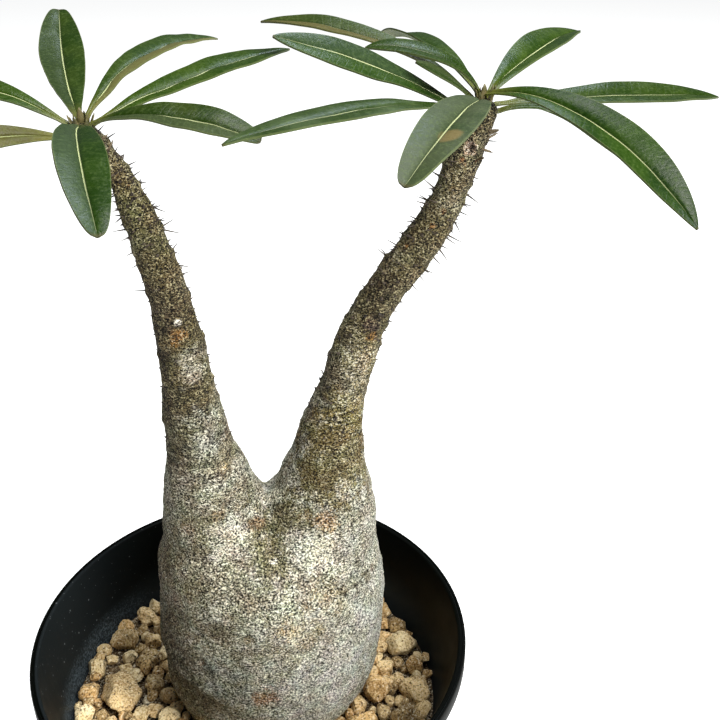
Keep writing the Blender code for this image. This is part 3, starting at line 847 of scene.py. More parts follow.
def leaf_material(name, blade, second, roughness, half_tint=None, blotch=None, shine=LEAF_SHINE):
    """One side of a leaf, drawn on its own UV map: U runs to the tip and V runs across."""
    made, tree, shader, place = new_material(name, blade)
    chart = node(tree, "SeparateXYZ", {0: tree.nodes["Texture Coordinate"].outputs["UV"]})
    along = chart.outputs["X"]
    side_to_side = chart.outputs["Y"]
    across = math_node(tree, "ABSOLUTE", math_node(tree, "SUBTRACT", side_to_side, 0.5))
    across = times(tree, across, 2.0)
    wide = noise(tree, place, 90, 3)
    fine = noise(tree, place, 1300, 3, 0.7)
    colour = mix(tree, remap(tree, wide, 0.40, 0.62), blade, second)
    # A half tint is the leaf's own other colour on one half; on the sheen finishes it is a painted
    # reflection.
    if half_tint is not None:
        side, tint, strength = half_tint
        colour = lay(tree, colour, tint, remap(tree, side_to_side, 0.5, 0.5 + 0.06 * side), strength)
    lighter = mix(tree, 1.0, colour, (0.032, 0.045, 0.012), "ADD")
    veins = leaf_veins(tree, along, across, wide)
    colour = lay(tree, colour, lighter, veins, 0.16)
    # Fine pale specks in the colour: a painted sparkle of sheen.
    colour = lay(tree, colour, lighter, remap(tree, fine, 0.50, 0.66), 0.60)
    if blotch is not None:
        centre, radius, tint = blotch
        browned = leaf_blotch(tree, place, along, side_to_side, centre, radius)
        colour = lay(tree, colour, tint, browned, 0.75)
    margin = remap(tree, across, 0.955, 0.99)
    colour = lay(tree, colour, (0.22, 0.26, 0.10), margin, 0.28)
    # Dark bands on both sides of the midrib: painted shade in its sunk groove.
    midrib_groove_shade = remap(tree, across, 0.05, 0.15, 1.0, 0.0)
    colour = lay(tree, colour, (0.008, 0.020, 0.002), midrib_groove_shade, 0.45)
    fade = remap(tree, along, 0.45, 1.0, 0.90, 0.35)
    colour = lay(tree, colour, (0.52, 0.56, 0.31), leaf_midrib(tree, along, across), fade)
    near_crown = remap(tree, along, 0.02, 0.20, 1.0, 0.0)
    colour = lay(tree, colour, (0.15, 0.15, 0.03), near_crown, 0.65)
    tip = remap(tree, along, 0.985, 1.0)
    colour = lay(tree, colour, (0.08, 0.06, 0.02), tip, 0.5)
    tree.links.new(colour, shader.inputs["Base Color"])
    rough = remap(tree, fine, 0.3, 0.7, roughness - 0.06, roughness + 0.10)
    tree.links.new(rough, shader.inputs["Roughness"])
    shader.inputs["Specular IOR Level"].default_value = shine
    height = plus(tree, times(tree, veins, -0.15), times(tree, fine, 0.9))
    tree.links.new(bump(tree, height, 0.10 * MM), shader.inputs["Normal"])
    return made


def pumice_material(name, base, second, pore, grains):
    """Pumice with dark pores and pale grains."""
    made, tree, shader, place = new_material(name, base)
    wide = noise(tree, place, 230, 3)
    fine = noise(tree, place, 1700, 3, 0.65)
    stone_by_stone = noise(tree, place, 75, 1)
    colour = mix(tree, remap(tree, wide, 0.36, 0.64), base, second)
    light = mix(tree, remap(tree, stone_by_stone, 0.36, 0.62), (0.70, 0.66, 0.58), (1.22, 1.20, 1.16))
    colour = mix(tree, 0.85, colour, light, "MULTIPLY")
    colour = lay(tree, colour, pore, remap(tree, fine, 0.53, 0.61), 0.75)
    colour = lay(tree, colour, (0.88, 0.80, 0.62), remap(tree, fine, 0.46, 0.37), 0.55)
    holes = use_group(tree, grains, {"Vector": place, "Scale": 950.0, "Size": 0.40})
    pores = times(tree, holes["Grain"], remap(tree, holes["Shade"], 0.60, 0.75))
    colour = lay(tree, colour, pore, pores, 0.8)
    tree.links.new(colour, shader.inputs["Base Color"])
    shader.inputs["Roughness"].default_value = 0.9
    shader.inputs["Specular IOR Level"].default_value = 0.2
    height = plus(tree, times(tree, pores, -1.0), times(tree, wide, 1.5))
    height = plus(tree, height, times(tree, fine, 0.8))
    tree.links.new(bump(tree, height, 0.5 * MM), shader.inputs["Normal"])
    return made


def plastic_material(dust):
    """Black satin plastic with dust inside the pot, most of it on the left over the stones, and a painted
    bluish reflection on the left inside.
    """
    made, tree, shader, place = new_material("black_plastic", (0.012, 0.013, 0.015))
    split = node(tree, "SeparateXYZ", {0: place})
    x, height = split.outputs["X"], split.outputs["Z"]
    level = node(tree, "CombineXYZ", {0: x, 1: split.outputs["Y"]}).outputs[0]
    away = vector_math(tree, "LENGTH", {0: level})
    middle_of_wall = RIM_RADIUS - LIP_WIDTH + WALL / 2 - WALL_TAPER * POT_HEIGHT
    wall = plus(tree, times(tree, height, WALL_TAPER), middle_of_wall)
    inside = math_node(tree, "LESS_THAN", away, wall)
    dusty = plus(tree, times(tree, inside, 0.9), 0.1)
    leftward = remap(tree, x, -20 * MM, -50 * MM)
    wide = noise(tree, place, 40, 3)
    specks = use_group(tree, dust, {"Vector": place, "Scale": 700.0, "Amount": 0.12})["Mask"]
    more = use_group(tree, dust, {"Vector": place, "Scale": 1500.0, "Amount": 0.10})["Mask"]
    specks = times(tree, math_node(tree, "MAXIMUM", specks, more), leftward)
    specks = times(tree, specks, dusty)
    low = times(tree, remap(tree, height, 95 * MM, 78 * MM), dusty)
    dust_and_reflection = times(tree, times(tree, low, wide), 0.35)
    powder = remap(tree, noise(tree, place, 1500, 3, 0.7), 0.42, 0.62, 0.20, 1.4)
    near_grit = times(tree, remap(tree, height, 90 * MM, 82 * MM), leftward)
    near_grit = times(tree, times(tree, near_grit, powder), inside)
    dust_and_reflection = math_node(tree, "MAXIMUM", dust_and_reflection, times(tree, near_grit, wide))
    # A bluish haze on the left of the inside wall: a painted reflection.
    painted_left_reflection = times(tree, remap(tree, x, -26 * MM, -50 * MM), 0.07)
    dust_and_reflection = math_node(tree, "MAXIMUM", dust_and_reflection, times(tree, painted_left_reflection, inside))
    colour = mix(tree, dust_and_reflection, (0.002, 0.0025, 0.002), (0.11, 0.14, 0.16))
    colour = lay(tree, colour, (0.30, 0.32, 0.33), specks, 0.35)
    tree.links.new(colour, shader.inputs["Base Color"])
    tree.links.new(remap(tree, wide, 0.3, 0.7, 0.34, 0.48), shader.inputs["Roughness"])
    shader.inputs["Specular IOR Level"].default_value = 0.035
    tree.links.new(bump(tree, noise(tree, place, 900, 2), 0.05 * MM, 0.5), shader.inputs["Normal"])
    return made


def plain_grain_material(name, base, second, rough):
    """Dry plant bits: spines, scraps and scars."""
    made, tree, shader, place = new_material(name, base)
    colour = mix(tree, remap(tree, noise(tree, place, 600, 3), 0.35, 0.65), base, second)
    tree.links.new(colour, shader.inputs["Base Color"])
    shader.inputs["Roughness"].default_value = rough
    tree.links.new(bump(tree, noise(tree, place, 1800, 2), 0.1 * MM), shader.inputs["Normal"])
    return made


# Pot


def draw_ring(ring, radius, height):
    """Extrudes the cap of a turned piece to its next ring and returns that ring."""
    bpy.ops.mesh.extrude_region_move(TRANSFORM_OT_translate={"value": (0, 0, height - ring[1])})
    share = radius / ring[0]
    bpy.ops.transform.resize(value=(share, share, 1))
    return radius, height


def inner_radius(height):
    return RIM_RADIUS - LIP_WIDTH - WALL_TAPER * (POT_HEIGHT - height)


def pot_profile(edge):
    """The pot's turned outline as radius and height, from its centre pad round the lip to its floor."""
    foot = inner_radius(0) + WALL + edge
    wall_top = POT_HEIGHT - LIP_DEPTH
    profile = [
        (PAD_RADIUS + edge, FOOT_RECESS),
        (foot - FOOT_WIDTH - edge, FOOT_RECESS),
        (foot - FOOT_WIDTH, 0.2 * MM),
        (foot - FOOT_WIDTH + 0.3 * MM, 0),
        (foot - edge, 0),
        (foot - 0.1 * MM, 0.2 * MM),
        (foot, edge),
    ]
    for share in (0.25, 0.5, 0.75):
        height = wall_top * share
        profile.append((inner_radius(height) + WALL + edge * (1 - share), height))
    profile.append((inner_radius(wall_top) + WALL, wall_top))
    lip = (
        (edge, LIP_DEPTH),
        (0.12 * MM, LIP_DEPTH - 0.15 * MM),
        (0, LIP_DEPTH - edge),
        (0, 0.7 * MM),
        (0.15 * MM, 0.22 * MM),
        (0.5 * MM, 0),
        (0.75 * MM, 0),
        (0.9 * MM, 0.3 * MM),
        (1.15 * MM, 0.3 * MM),
        (1.3 * MM, 0),
        (LIP_WIDTH - edge, 0),
        (LIP_WIDTH - 0.1 * MM, 0.2 * MM),
    )
    profile += [(RIM_RADIUS - inward, POT_HEIGHT - down) for inward, down in lip]
    for height in (POT_HEIGHT - 0.6 * MM, 95 * MM, 82 * MM, 60 * MM, 30 * MM, FLOOR_TOP + 2 * MM):
        profile.append((inner_radius(height), height))
    profile.append((inner_radius(FLOOR_TOP) - 0.8 * MM, FLOOR_TOP + 0.5 * MM))
    profile.append((inner_radius(FLOOR_TOP) - 2 * MM, FLOOR_TOP))
    return profile


def drain_drill():
    """The drain holes as one piece of round pegs."""
    pegs = []
    for index in range(DRAIN_HOLES):
        angle = (index + 0.5) * math.tau / DRAIN_HOLES
        place = (math.cos(angle) * DRAIN_CIRCLE, math.sin(angle) * DRAIN_CIRCLE, FLOOR_TOP)
        bpy.ops.mesh.primitive_cylinder_add(
            vertices=24, radius=DRAIN_RADIUS, depth=4 * FLOOR_TOP, location=place
        )
        pegs.append(new_piece(f"drill_{index}"))
    drill = join(pegs, "drills")
    settle_place(drill)
    return drill


def make_pot(plastic):
    bpy.ops.mesh.primitive_circle_add(vertices=POT_SIDES, radius=PAD_RADIUS, fill_type="NGON")
    pot = new_piece("pot_shell")
    edit(pot)
    bpy.ops.mesh.select_all(action="SELECT")
    ring = (PAD_RADIUS, 0)
    for radius, height in pot_profile(0.5 * MM):
        ring = draw_ring(ring, radius, height)
    bpy.ops.mesh.select_all(action="SELECT")
    bpy.ops.mesh.normals_make_consistent(inside=False)
    leave_edit()
    drill = drain_drill()
    holes = pot.modifiers.new("drain_holes", "BOOLEAN")
    holes.operation = "DIFFERENCE"
    holes.solver = "EXACT"
    holes.object = drill
    apply_modifiers(pot)
    remove_piece(drill)
    make_active(pot)
    bpy.ops.object.shade_smooth_by_angle(angle=math.radians(32))
    finish_piece(pot, "pot_plastic", plastic, "pot")


# Plant body


def between(points, place):
    """A smooth value on a row of stations, at a place counted in stations."""
    last = len(points) - 1
    step = min(int(place), last - 1)
    share = place - step
    before, first = points[max(step - 1, 0)], points[step]
    second, after = points[step + 1], points[min(step + 2, last)]
    smooth = []
    for p0, p1, p2, p3 in zip(before, first, second, after):
        curve = 2 * p1 + (p2 - p0) * share + (2 * p0 - 5 * p1 + 4 * p2 - p3) * share**2
        smooth.append((curve + (3 * p1 - p0 - 3 * p2 + p3) * share**3) / 2)
    return smooth


def tilt_between(first, second):
    """The lean towards +X of the way from one station to the next."""
    return math.atan2(second[0] - first[0], second[1] - first[1])


def dome_of(stations):
    """The rings of a branch's rounded growing tip."""
    (x0, z0, _), (x1, z1, radius) = stations[-2:]
    heading = Vector((x1 - x0, z1 - z0)).normalized()
    rounded = []
    for degrees in (30, 55, 75):
        angle = math.radians(degrees)
        step = heading * radius * math.sin(angle)
        rounded.append((x1 + step.x, z1 + step.y, radius * math.cos(angle)))
    return rounded


def grow_tube(name, stations, dome=()):
    """A tube grown ring by ring through its stations."""
    steps = RINGS_PER_STATION * (len(stations) - 1)
    rings = [between(stations, step / RINGS_PER_STATION) for step in range(steps + 1)]
    rings += [list(point) for point in dome]
    x, height, radius = rings[0]
    tilt = tilt_between(rings[0], rings[1])
    bpy.ops.mesh.primitive_circle_add(
        vertices=TUBE_SIDES,
        radius=radius * MM,
        fill_type="NGON",
        location=rim_point(x, height),
        rotation=(0, tilt, 0),
    )
    tube = new_piece(name)
    settle_place(tube)
    edit(tube)
    bpy.ops.mesh.select_all(action="SELECT")
    for index in range(1, len(rings)):
        last, ring = rings[index - 1], rings[index]
        step = ((ring[0] - last[0]) * MM, 0, (ring[1] - last[1]) * MM)
        bpy.ops.mesh.extrude_region_move(TRANSFORM_OT_translate={"value": step})
        ahead = rings[min(index + 1, len(rings) - 1)]
        lean = tilt_between(last, ahead)
        centre = rim_point(ring[0], ring[1])
        bpy.ops.transform.rotate(value=tilt - lean, orient_axis="Y", center_override=centre)
        tilt = lean
        share = ring[2] / last[2]
        bpy.ops.transform.resize(value=(share, share, share))
    bpy.ops.mesh.select_all(action="SELECT")
    bpy.ops.mesh.normals_make_consistent(inside=False)
    leave_edit()
    return tube


def stem_places(stations, first, apart, chance):
    """Places wound round a branch: point, way out, axis, radius and share of the branch."""
    places = []
    at = first
    turn = chance.uniform(0, math.tau)
    last = len(stations) - 1
    while at < last - 0.25:
        x, height, radius = between(stations, at)
        ahead = between(stations, min(at + 0.05, last))
        axis = Vector((ahead[0] - x, 0, ahead[1] - height)).normalized()
        side = axis.cross(Vector((0, 1, 0))).normalized()
        out = side * math.cos(turn) + Vector((0, 1, 0)) * math.sin(turn)
        places.append((rim_point(x, height), out, axis, radius * MM, at / last))
        station_length = math.dist(between(stations, at + 0.01)[:2], (x, height)) * 100
        at += apart / station_length
        turn += GOLDEN_TURN
    return places


def make_knobs(places, chance):
    """Low knobs that the spines stand on, as one mesh."""
    bpy.ops.mesh.primitive_ico_sphere_add(subdivisions=2, radius=1)
    blank = new_piece("knob_blank")
    knobs = []
    for index, (centre, out, axis, radius, share) in enumerate(places):
        size = chance.uniform(*KNOB_SIZES) * MM * (0.75 + 0.35 * share)
        turned = Matrix((out, axis, out.cross(axis))).transposed().to_4x4()
        sized = Matrix.Diagonal((size * 0.8, size, size * 1.15, 1))
        place = Matrix.Translation(centre + out * (radius - size * KNOB_SUNK))
        knobs.append(copy_of(blank, f"knob_{index}", place @ turned @ sized))
    remove_piece(blank)
    return join(knobs, "knobs")


def press(piece, centre, radius, depth):
    """Presses a soft dent into a surface, or raises a bump."""
    for reach, part in PRESS_STEPS:
        select_where(piece, lambda co: (co - centre).length < radius * reach)
        bpy.ops.transform.shrink_fatten(value=-depth * part)


def make_body(bark, knob_places, chance):
    """The caudex with its buried foot and both branches, grown together."""
    caudex = grow_tube("caudex", CAUDEX)
    edit(caudex)
    bpy.ops.mesh.select_all(action="SELECT")
    bpy.ops.transform.resize(value=(1, DEPTH_SHARE, 1))
    leave_edit()
    left = grow_tube("left_stem", LEFT_BRANCH, dome_of(LEFT_BRANCH))
    right = grow_tube("right_stem", RIGHT_BRANCH, dome_of(RIGHT_BRANCH))
    body = join([caudex, left, right, make_knobs(knob_places, chance)], "body")
    grown = body.modifiers.new("grown_together", "REMESH")
    grown.mode = "VOXEL"
    grown.voxel_size = BARK_VOXEL
    soft = body.modifiers.new("soft_joins", "SMOOTH")
    soft.factor = 0.5
    soft.iterations = 4
    for size, height in BARK_LUMPS:
        lumps(body, "CLOUDS", size * MM, height * MM)
    apply_modifiers(body)
    edit(body)
    for x, y, height, radius, depth in DENTS:
        press(body, rim_point(x, height, y), radius * MM, depth * MM)
    leave_edit()
    make_active(body)
    bpy.ops.object.shade_smooth()
    finish_piece(body, "bark", bark, "plant_body")


# Spines


def make_spine_blank():
    """One bent spine, 1 long and 1 thick at its foot, rising along Z."""
    bpy.ops.mesh.primitive_circle_add(vertices=5, radius=1.9, fill_type="NGON", location=(0, 0, -0.08))
    blank = new_piece("spine_blank")
    settle_place(blank)
    edit(blank)
    bpy.ops.mesh.select_all(action="SELECT")
    for rise, lean, share in SPINE_STEPS:
        bpy.ops.mesh.extrude_region_move(TRANSFORM_OT_translate={"value": (lean, 0, rise)})
        bpy.ops.transform.resize(value=(share, share, 1))
    leave_edit()
    make_active(blank)
    bpy.ops.object.shade_smooth()
    return blank


def spine_placing(foot, way, length, thickness, roll):
    """Places the spine blank with its foot at a point and its length along a way."""
    turn = way.to_track_quat("Z", "Y").to_matrix().to_4x4() @ Matrix.Rotation(roll, 4, "Z")
    return Matrix.Translation(foot) @ turn @ Matrix.Diagonal((thickness, thickness, length, 1))


def spine_length(share, side_on, chance):
    """A knob spine's length in mm: long ones stand only on the upper part of a branch."""
    length = chance.uniform(*LONG_SPINE)
    if share < LONG_SPINES_FROM:
        return chance.uniform(*WORN_SPINE)
    if chance.random() > (LONG_ON_OUTLINE if side_on else LONG_ELSEWHERE):
        return chance.uniform(*SHORT_SPINE)
    return length


def outline_spines():
    """The listed spines, as foot, way, length and thickness."""
    spines = []
    for x0, z0, x1, z1, depth in SPINES:
        foot, tip = rim_point(x0, z0, depth), rim_point(x1, z1, depth * 1.6)
        way = (tip - foot).normalized()
        foot = foot - way * 0.5 * MM
        spines.append((foot, way, (tip - foot).length, 0.22 * MM))
    return spines


def knob_spines(knob_places, chance):
    """Two spines on each knob."""
    spines = []
    for centre, out, axis, radius, share in knob_places:
        side_on = abs(out.x) > 0.80
        aside = out.cross(axis)
        for turn in (-1, 1):
            way = out + aside * turn * chance.uniform(0.35, 0.8) + axis * chance.uniform(-0.15, 0.35)
            length = spine_length(share, side_on, chance)
            sunk = 1.02 if length > SHORT_SPINE[1] else 0.95
            foot = centre + out * radius * sunk + aside * turn * 0.35 * MM
            spines.append((foot, way.normalized(), length * MM, 0.19 * MM))
    return spines


def stub_spines(stub_places, chance):
    """Worn stubs all over the branches."""
    spines = []
    for centre, out, axis, radius, _ in stub_places:
        way = out + out.cross(axis) * chance.uniform(-0.5, 0.5) + axis * chance.uniform(-0.1, 0.6)
        foot = centre + out * radius * 0.97
        length = chance.uniform(0.6, 1.1) * MM
        spines.append((foot, way.normalized(), length, chance.uniform(0.18, 0.28) * MM))
    return spines


def make_spines(dry, knob_places, stub_places, chance):
    """All spines as one piece."""
    blank = make_spine_blank()
    spines = outline_spines() + knob_spines(knob_places, chance) + stub_spines(stub_places, chance)
    made = []
    for index, (foot, way, length, thickness) in enumerate(spines):
        placing = spine_placing(foot, way, length, thickness, chance.uniform(0, math.tau))
        made.append(copy_of(blank, f"spine_{index}", placing))
    remove_piece(blank)
    finish_piece(join(made, "spines"), "bark", dry)


# Crowns


def make_scale_blank():
    """A small pointed scale, 1 long along +X, cupped and thin."""
    bpy.ops.mesh.primitive_grid_add(x_subdivisions=8, y_subdivisions=4, size=2)
    blank = new_piece("scale_blank")
    edit(blank)
    bpy.ops.mesh.select_all(action="SELECT")
    bpy.ops.transform.resize(value=(0.5, 1, 1))
    bpy.ops.transform.translate(value=(0.5, 0, 0))
    for row in range(9):
        place = row / 8
        select_where(blank, lambda co: abs(co.x - place) < 0.01)
        half = max(0.02, 0.20 * math.sin(math.pi * (0.25 + 0.75 * place)) ** 0.8)
        bpy.ops.transform.resize(value=(1, half, 1))
        bpy.ops.transform.translate(value=(0, 0, 0.35 * place**2))
    select_where(blank, lambda co: abs(co.y) > 0.08)
    bpy.ops.transform.translate(value=(0, 0, 0.07))
    leave_edit()
    thick = blank.modifiers.new("scale_body", "SOLIDIFY")
    thick.thickness = 0.05
    apply_modifiers(blank)
    bpy.ops.object.shade_smooth()
    return blank


def make_bud_scales(blank, crown, name, fresh, chance):
    """Bud scales wound round a growing tip, steep in the middle and flatter outside."""
    (x, y, height), radius = crown
    top = rim_point(x, height, y)
    scales = []
    for index in range(SCALES):
        turn = index * GOLDEN_TURN
        steep = math.radians(80 - 55 * index / SCALES)
        lean = Matrix.Rotation(turn, 4, "Z") @ Matrix.Rotation(-steep, 4, "Y")
        start = top + lean.to_3x3() @ Vector(((radius - 0.7) * MM, 0, 0))
        size = chance.uniform(2.2, 3.6) * MM
        placing = Matrix.Translation(start) @ lean @ Matrix.Diagonal((size, size * 1.1, size, 1))
        scales.append(copy_of(blank, f"scale_{index}", placing))
    finish_piece(join(scales, name), "leaf", fresh)


def make_crown_bits(fresh, dry, chance):
    """Bud scales round both growing tips, and dried curls below them."""
    blank = make_scale_blank()
    make_bud_scales(blank, LEFT_CROWN, "left_bud_scales", fresh, chance)
    make_bud_scales(blank, RIGHT_CROWN, "right_bud_scales", fresh, chance)
    curls = []
    for index, (x, y, height, length, bearing, rise) in enumerate(CURLS):
        placed = Matrix.Translation(rim_point(x, height, y))
        turned = Matrix.Rotation(math.radians(bearing), 4, "Z")
        raised = Matrix.Rotation(-math.radians(rise), 4, "Y")
        rolled = Matrix.Rotation(chance.uniform(0, math.tau), 4, "X")
        sized = Matrix.Diagonal((length * MM, length * 0.8 * MM, length * MM, 1))
        curls.append(copy_of(blank, f"curl_{index}", placed @ turned @ raised @ rolled @ sized))
    finish_piece(join(curls, "dried_curls"), "bark", dry)
    remove_piece(blank)


# Leaves


def leaf_half_width(along, blunt, bare):
    """Half the blank's width: a petiole, bare for a share of the length, that opens into a long blade."""
    blade = 0.0
    if bare < along < 1:
        share = (along - bare) / (1 - bare)
        power = BLADE_POWER
        if share >= TIP_STARTS:
            power -= (BLADE_POWER - blunt) * (share - TIP_STARTS) / (1 - TIP_STARTS)
        blade = math.sin(math.pi * share**1.5) ** power
    petiole = PETIOLE_SHARE * (1 - along) ** 0.3
    return max(BLANK_WIDTH / 2 * max(blade, petiole), 0.25)


def row_place(row):
    """A row's share of the length, with the rows closer together at the tip."""
    share = row / LEAF_ROWS
    return share + 0.16 * math.sin(math.pi * share) * share


def make_leaf_blank(blunt, bare=0.0):
    """A flat leaf along +X, with more or less blunt a tip and more or less long a petiole."""
    bpy.ops.mesh.primitive_grid_add(x_subdivisions=LEAF_ROWS, y_subdivisions=LEAF_COLUMNS, size=2)
    blank = new_piece("leaf_blank")
    edit(blank)
    bpy.ops.mesh.select_all(action="SELECT")
    bpy.ops.transform.resize(value=(BLANK_LENGTH / 2 * MM, 1, 1))
    bpy.ops.transform.translate(value=(BLANK_LENGTH / 2 * MM, 0, 0))
    for row in reversed(range(LEAF_ROWS + 1)):
        place = BLANK_LENGTH * MM * row / LEAF_ROWS
        select_where(blank, lambda co: abs(co.x - place) < 0.05 * MM)
        bpy.ops.transform.resize(value=(1, leaf_half_width(row_place(row), blunt, bare) * MM, 1))
        bpy.ops.transform.translate(value=(BLANK_LENGTH * MM * row_place(row) - place, 0, 0))
    shape = bmesh.from_edit_mesh(blank.data)
    chart = shape.loops.layers.uv.active
    for face in shape.faces:
        for loop in face.loops:
            loop[chart].uv.x = loop.vert.co.x / (BLANK_LENGTH * MM)
    bmesh.update_edit_mesh(blank.data)
    leave_edit()
    return blank


def raise_columns(leaf, width):
    """Sinks the midrib and fills the halves of a blank, column by column."""
    shape = bmesh.from_edit_mesh(leaf.data)
    chart = shape.loops.layers.uv.active
    for vertex in shape.verts:
        across = abs(vertex.link_loops[0][chart].uv.y - 0.5) * 2
        along = vertex.link_loops[0][chart].uv.x
        full = math.sin(math.pi * min(along, 1) ** 0.8) ** 0.5 if 0 < along < 1 else 0
        sunk = -0.12 * MM * max(0, 1 - across / 0.15) ** 1.5
        crown = 0.028 * width * math.sin(math.pi * min(1, across) ** 0.85)
        vertex.co.z += full * (crown + sunk)
    bmesh.update_edit_mesh(leaf.data)


def leaf_guide(name, crown, bearing, seat, sweep, rise, droop, bend, length, roll, twist):
    """The line of a leaf's midrib as a curve, whose tilt is the leaf's roll."""
    (x, y, height), radius = crown
    turn, lift = math.radians(bearing), math.radians(seat)
    out = Vector((math.cos(turn) * math.cos(lift), math.sin(turn) * math.cos(lift), math.sin(lift)))
    point = rim_point(x, height, y) + out * (radius + 0.5 - ROOTED) * MM
    steps = 48
    curve = bpy.data.curves.new(name, "CURVE")
    curve.dimensions = "3D"
    curve.twist_mode = "Z_UP"
    spline = curve.splines.new("POLY")
    spline.points.add(steps + 1)
    spline.points[0].co = (*point, 1)
    spline.points[0].tilt = math.radians(roll)
    point = point + out * ROOTED * MM
    for step in range(steps + 1):
        along = step / steps
        azimuth = math.radians(bearing + sweep * along)
        pitch = math.radians(rise - droop * along**bend)
        level = math.cos(pitch)
        heading = Vector((math.cos(azimuth) * level, math.sin(azimuth) * level, math.sin(pitch)))
        if step > 0:
            point = point + (heading + last) * 0.5 * length * MM / steps
        last = heading
        spline.points[step + 1].co = (*point, 1)
        spline.points[step + 1].tilt = math.radians(roll + twist * along)
    guide = bpy.data.objects.new(name, curve)
    bpy.context.collection.objects.link(guide)
    return guide


def leaf_blank_kind(name):
    if name in BLUNT_LEAVES:
        return "blunt"
    if name in STALKED_LEAVES:
        return "stalked"
    return "pointed"


def fold_leaf(leaf, fold):
    """Lifts both halves of a flat leaf about its midrib."""
    edit(leaf)
    hinge = Vector((0, 0, 0))
    select_where(leaf, lambda co: co.y > 0.01 * MM)
    bpy.ops.transform.rotate(value=-math.radians(fold), orient_axis="X", center_override=hinge)
    select_where(leaf, lambda co: co.y < -0.01 * MM)
    bpy.ops.transform.rotate(value=math.radians(fold), orient_axis="X", center_override=hinge)
    leave_edit()


def make_leaf(blanks, finishes, row, number):
    name, crown, bearing, seat, sweep, rise, droop, bend, length, width, roll, twist, fold, finish = row
    scale = Matrix.Diagonal(((length + ROOTED) / BLANK_LENGTH, width / BLANK_WIDTH, 1, 1))
    leaf = copy_of(blanks[leaf_blank_kind(name)], name + "_blade", scale)
    edit(leaf)
    raise_columns(leaf, width * MM)
    leave_edit()
    waves = lumps(leaf, "CLOUDS", (8 + 0.6 * number) * MM, LEAF_WAVES, 1)
    waves.direction = "Z"
    apply_modifiers(leaf)
    fold_leaf(leaf, fold)
    upper, under = finishes[finish]
    leaf.data.materials.append(upper)
    leaf.data.materials.append(under)
    blade = leaf.modifiers.new("blade", "SOLIDIFY")
    blade.thickness = LEAF_THICKNESS
    blade.offset = 0.0
    blade.material_offset = 1
    guide = leaf_guide(name + "_guide", crown, bearing, seat, sweep, rise, droop, bend, length, roll, twist)
    bent = leaf.modifiers.new("bend", "CURVE")
    bent.object = guide
    bent.deform_axis = "POS_X"
    apply_modifiers(leaf)
    remove_piece(guide)
    make_active(leaf)
    bpy.ops.object.shade_smooth_by_angle(angle=math.radians(50))
    declare(leaf, "leaf", name)


def make_leaf_finishes():
    """The upper and the under material of each leaf finish."""
    undersides = {}
    for kind, (base, second) in LEAF_UNDERSIDES.items():
        undersides[kind] = leaf_material(f"{kind}_underside", base, second, 0.5)
    finishes = {}
    for finish, name, base, second, roughness, kind in LEAF_FINISHES:
        half_tint, blotch = HALF_TINTS.get(finish), BLOTCHES.get(finish)
        shine = GLOSSY_SHINE if finish == "glossy" else LEAF_SHINE
        upper = leaf_material(name, base, second, roughness, half_tint, blotch, shine)
        finishes[finish] = (upper, undersides[kind])
    return finishes


def make_leaves():
    finishes = make_leaf_finishes()
    blanks = {
        "blunt": make_leaf_blank(0.42),
        "pointed": make_leaf_blank(0.72),
        "stalked": make_leaf_blank(0.60, 0.24),
    }
    for number, row in enumerate(LEAVES):
        make_leaf(blanks, finishes, row, number)
    for blank in blanks.values():
        remove_piece(blank)


# Stones


def chip(stone, centre, half, cuts, chance):
    """Takes flat chips off a lump, which stay as facets."""
    edit(stone)
    for _ in range(cuts):
        way = Vector((chance.gauss(0, 1), chance.gauss(0, 1), chance.gauss(0, 1))).normalized()
        reach = Vector((way.x * half.x, way.y * half.y, way.z * half.z)).length
        point = centre + way * reach * chance.uniform(*FACET_REACH)
        bpy.ops.mesh.select_all(action="SELECT")
        bpy.ops.mesh.bisect(plane_co=point, plane_no=way, use_fill=True, clear_outer=True)
    leave_edit()


def make_stone(number, size, centre, voxel, chance):
    """One chipped and worn stone, cut flat where it rests on the bed."""
    half = size * MM / 2 * STONE_SWELL
    turn = (0, 0, math.radians(STONE_TURNS.get(number, 0)))
    bpy.ops.mesh.primitive_ico_sphere_add(
        subdivisions=3, radius=1, location=centre, rotation=turn, scale=half
    )
    stone = new_piece(f"pumice_{number:02d}")
    settle_place(stone)
    chip(stone, centre, half, STONE_CHIPS, chance)
    edit(stone)
    bpy.ops.mesh.select_all(action="SELECT")
    rest = Vector((0, 0, STONE_REST))
    bpy.ops.mesh.bisect(plane_co=rest, plane_no=(0, 0, -1), use_fill=True, clear_outer=True)
    leave_edit()
    fine = stone.modifiers.new("one_skin", "REMESH")
    fine.mode = "VOXEL"
    fine.voxel_size = voxel
    soft = stone.modifiers.new("worn_edges", "SMOOTH")
    soft.factor = 0.5
    soft.iterations = 1
    for breadth, height in STONE_LUMPS:
        lumps(stone, "CLOUDS", breadth * MM, height * MM)
    apply_modifiers(stone)
    make_active(stone)
    bpy.ops.object.shade_smooth()
    return stone


def make_stones(finishes, chance):
    """The large top stones, one for each CAD stone."""
    for number, (x, y, width, depth, height, colour) in enumerate(STONES, 1):
        size = Vector((width, depth, height))
        centre = Vector((x * MM, y * MM, STONE_REST + height * MM * STONE_MIDDLE))
        voxel = max(width, depth) * MM / STONE_VOXELS
        stone = make_stone(number, size, centre, voxel, chance)
        finish_piece(stone, f"stone_{colour}", finishes[colour], f"stone_{number:02d}")


def make_chip_shapes(chance):
    """A few small chips of pumice to copy from, each about 1 wide."""
    shapes = []
    for index in range(CHIP_SHAPES):
        half = Vector((0.62, chance.uniform(0.40, 0.60), chance.uniform(0.36, 0.48)))
        bpy.ops.mesh.primitive_ico_sphere_add(subdivisions=2, radius=1, scale=half)
        shape = new_piece(f"chip_shape_{index}")
        settle_place(shape)
        chip(shape, Vector((0, 0, 0)), half, CHIP_CUTS, chance)
        make_active(shape)
        bpy.ops.object.shade_smooth_by_angle(angle=math.radians(38))
        shapes.append(shape)
    return shapes


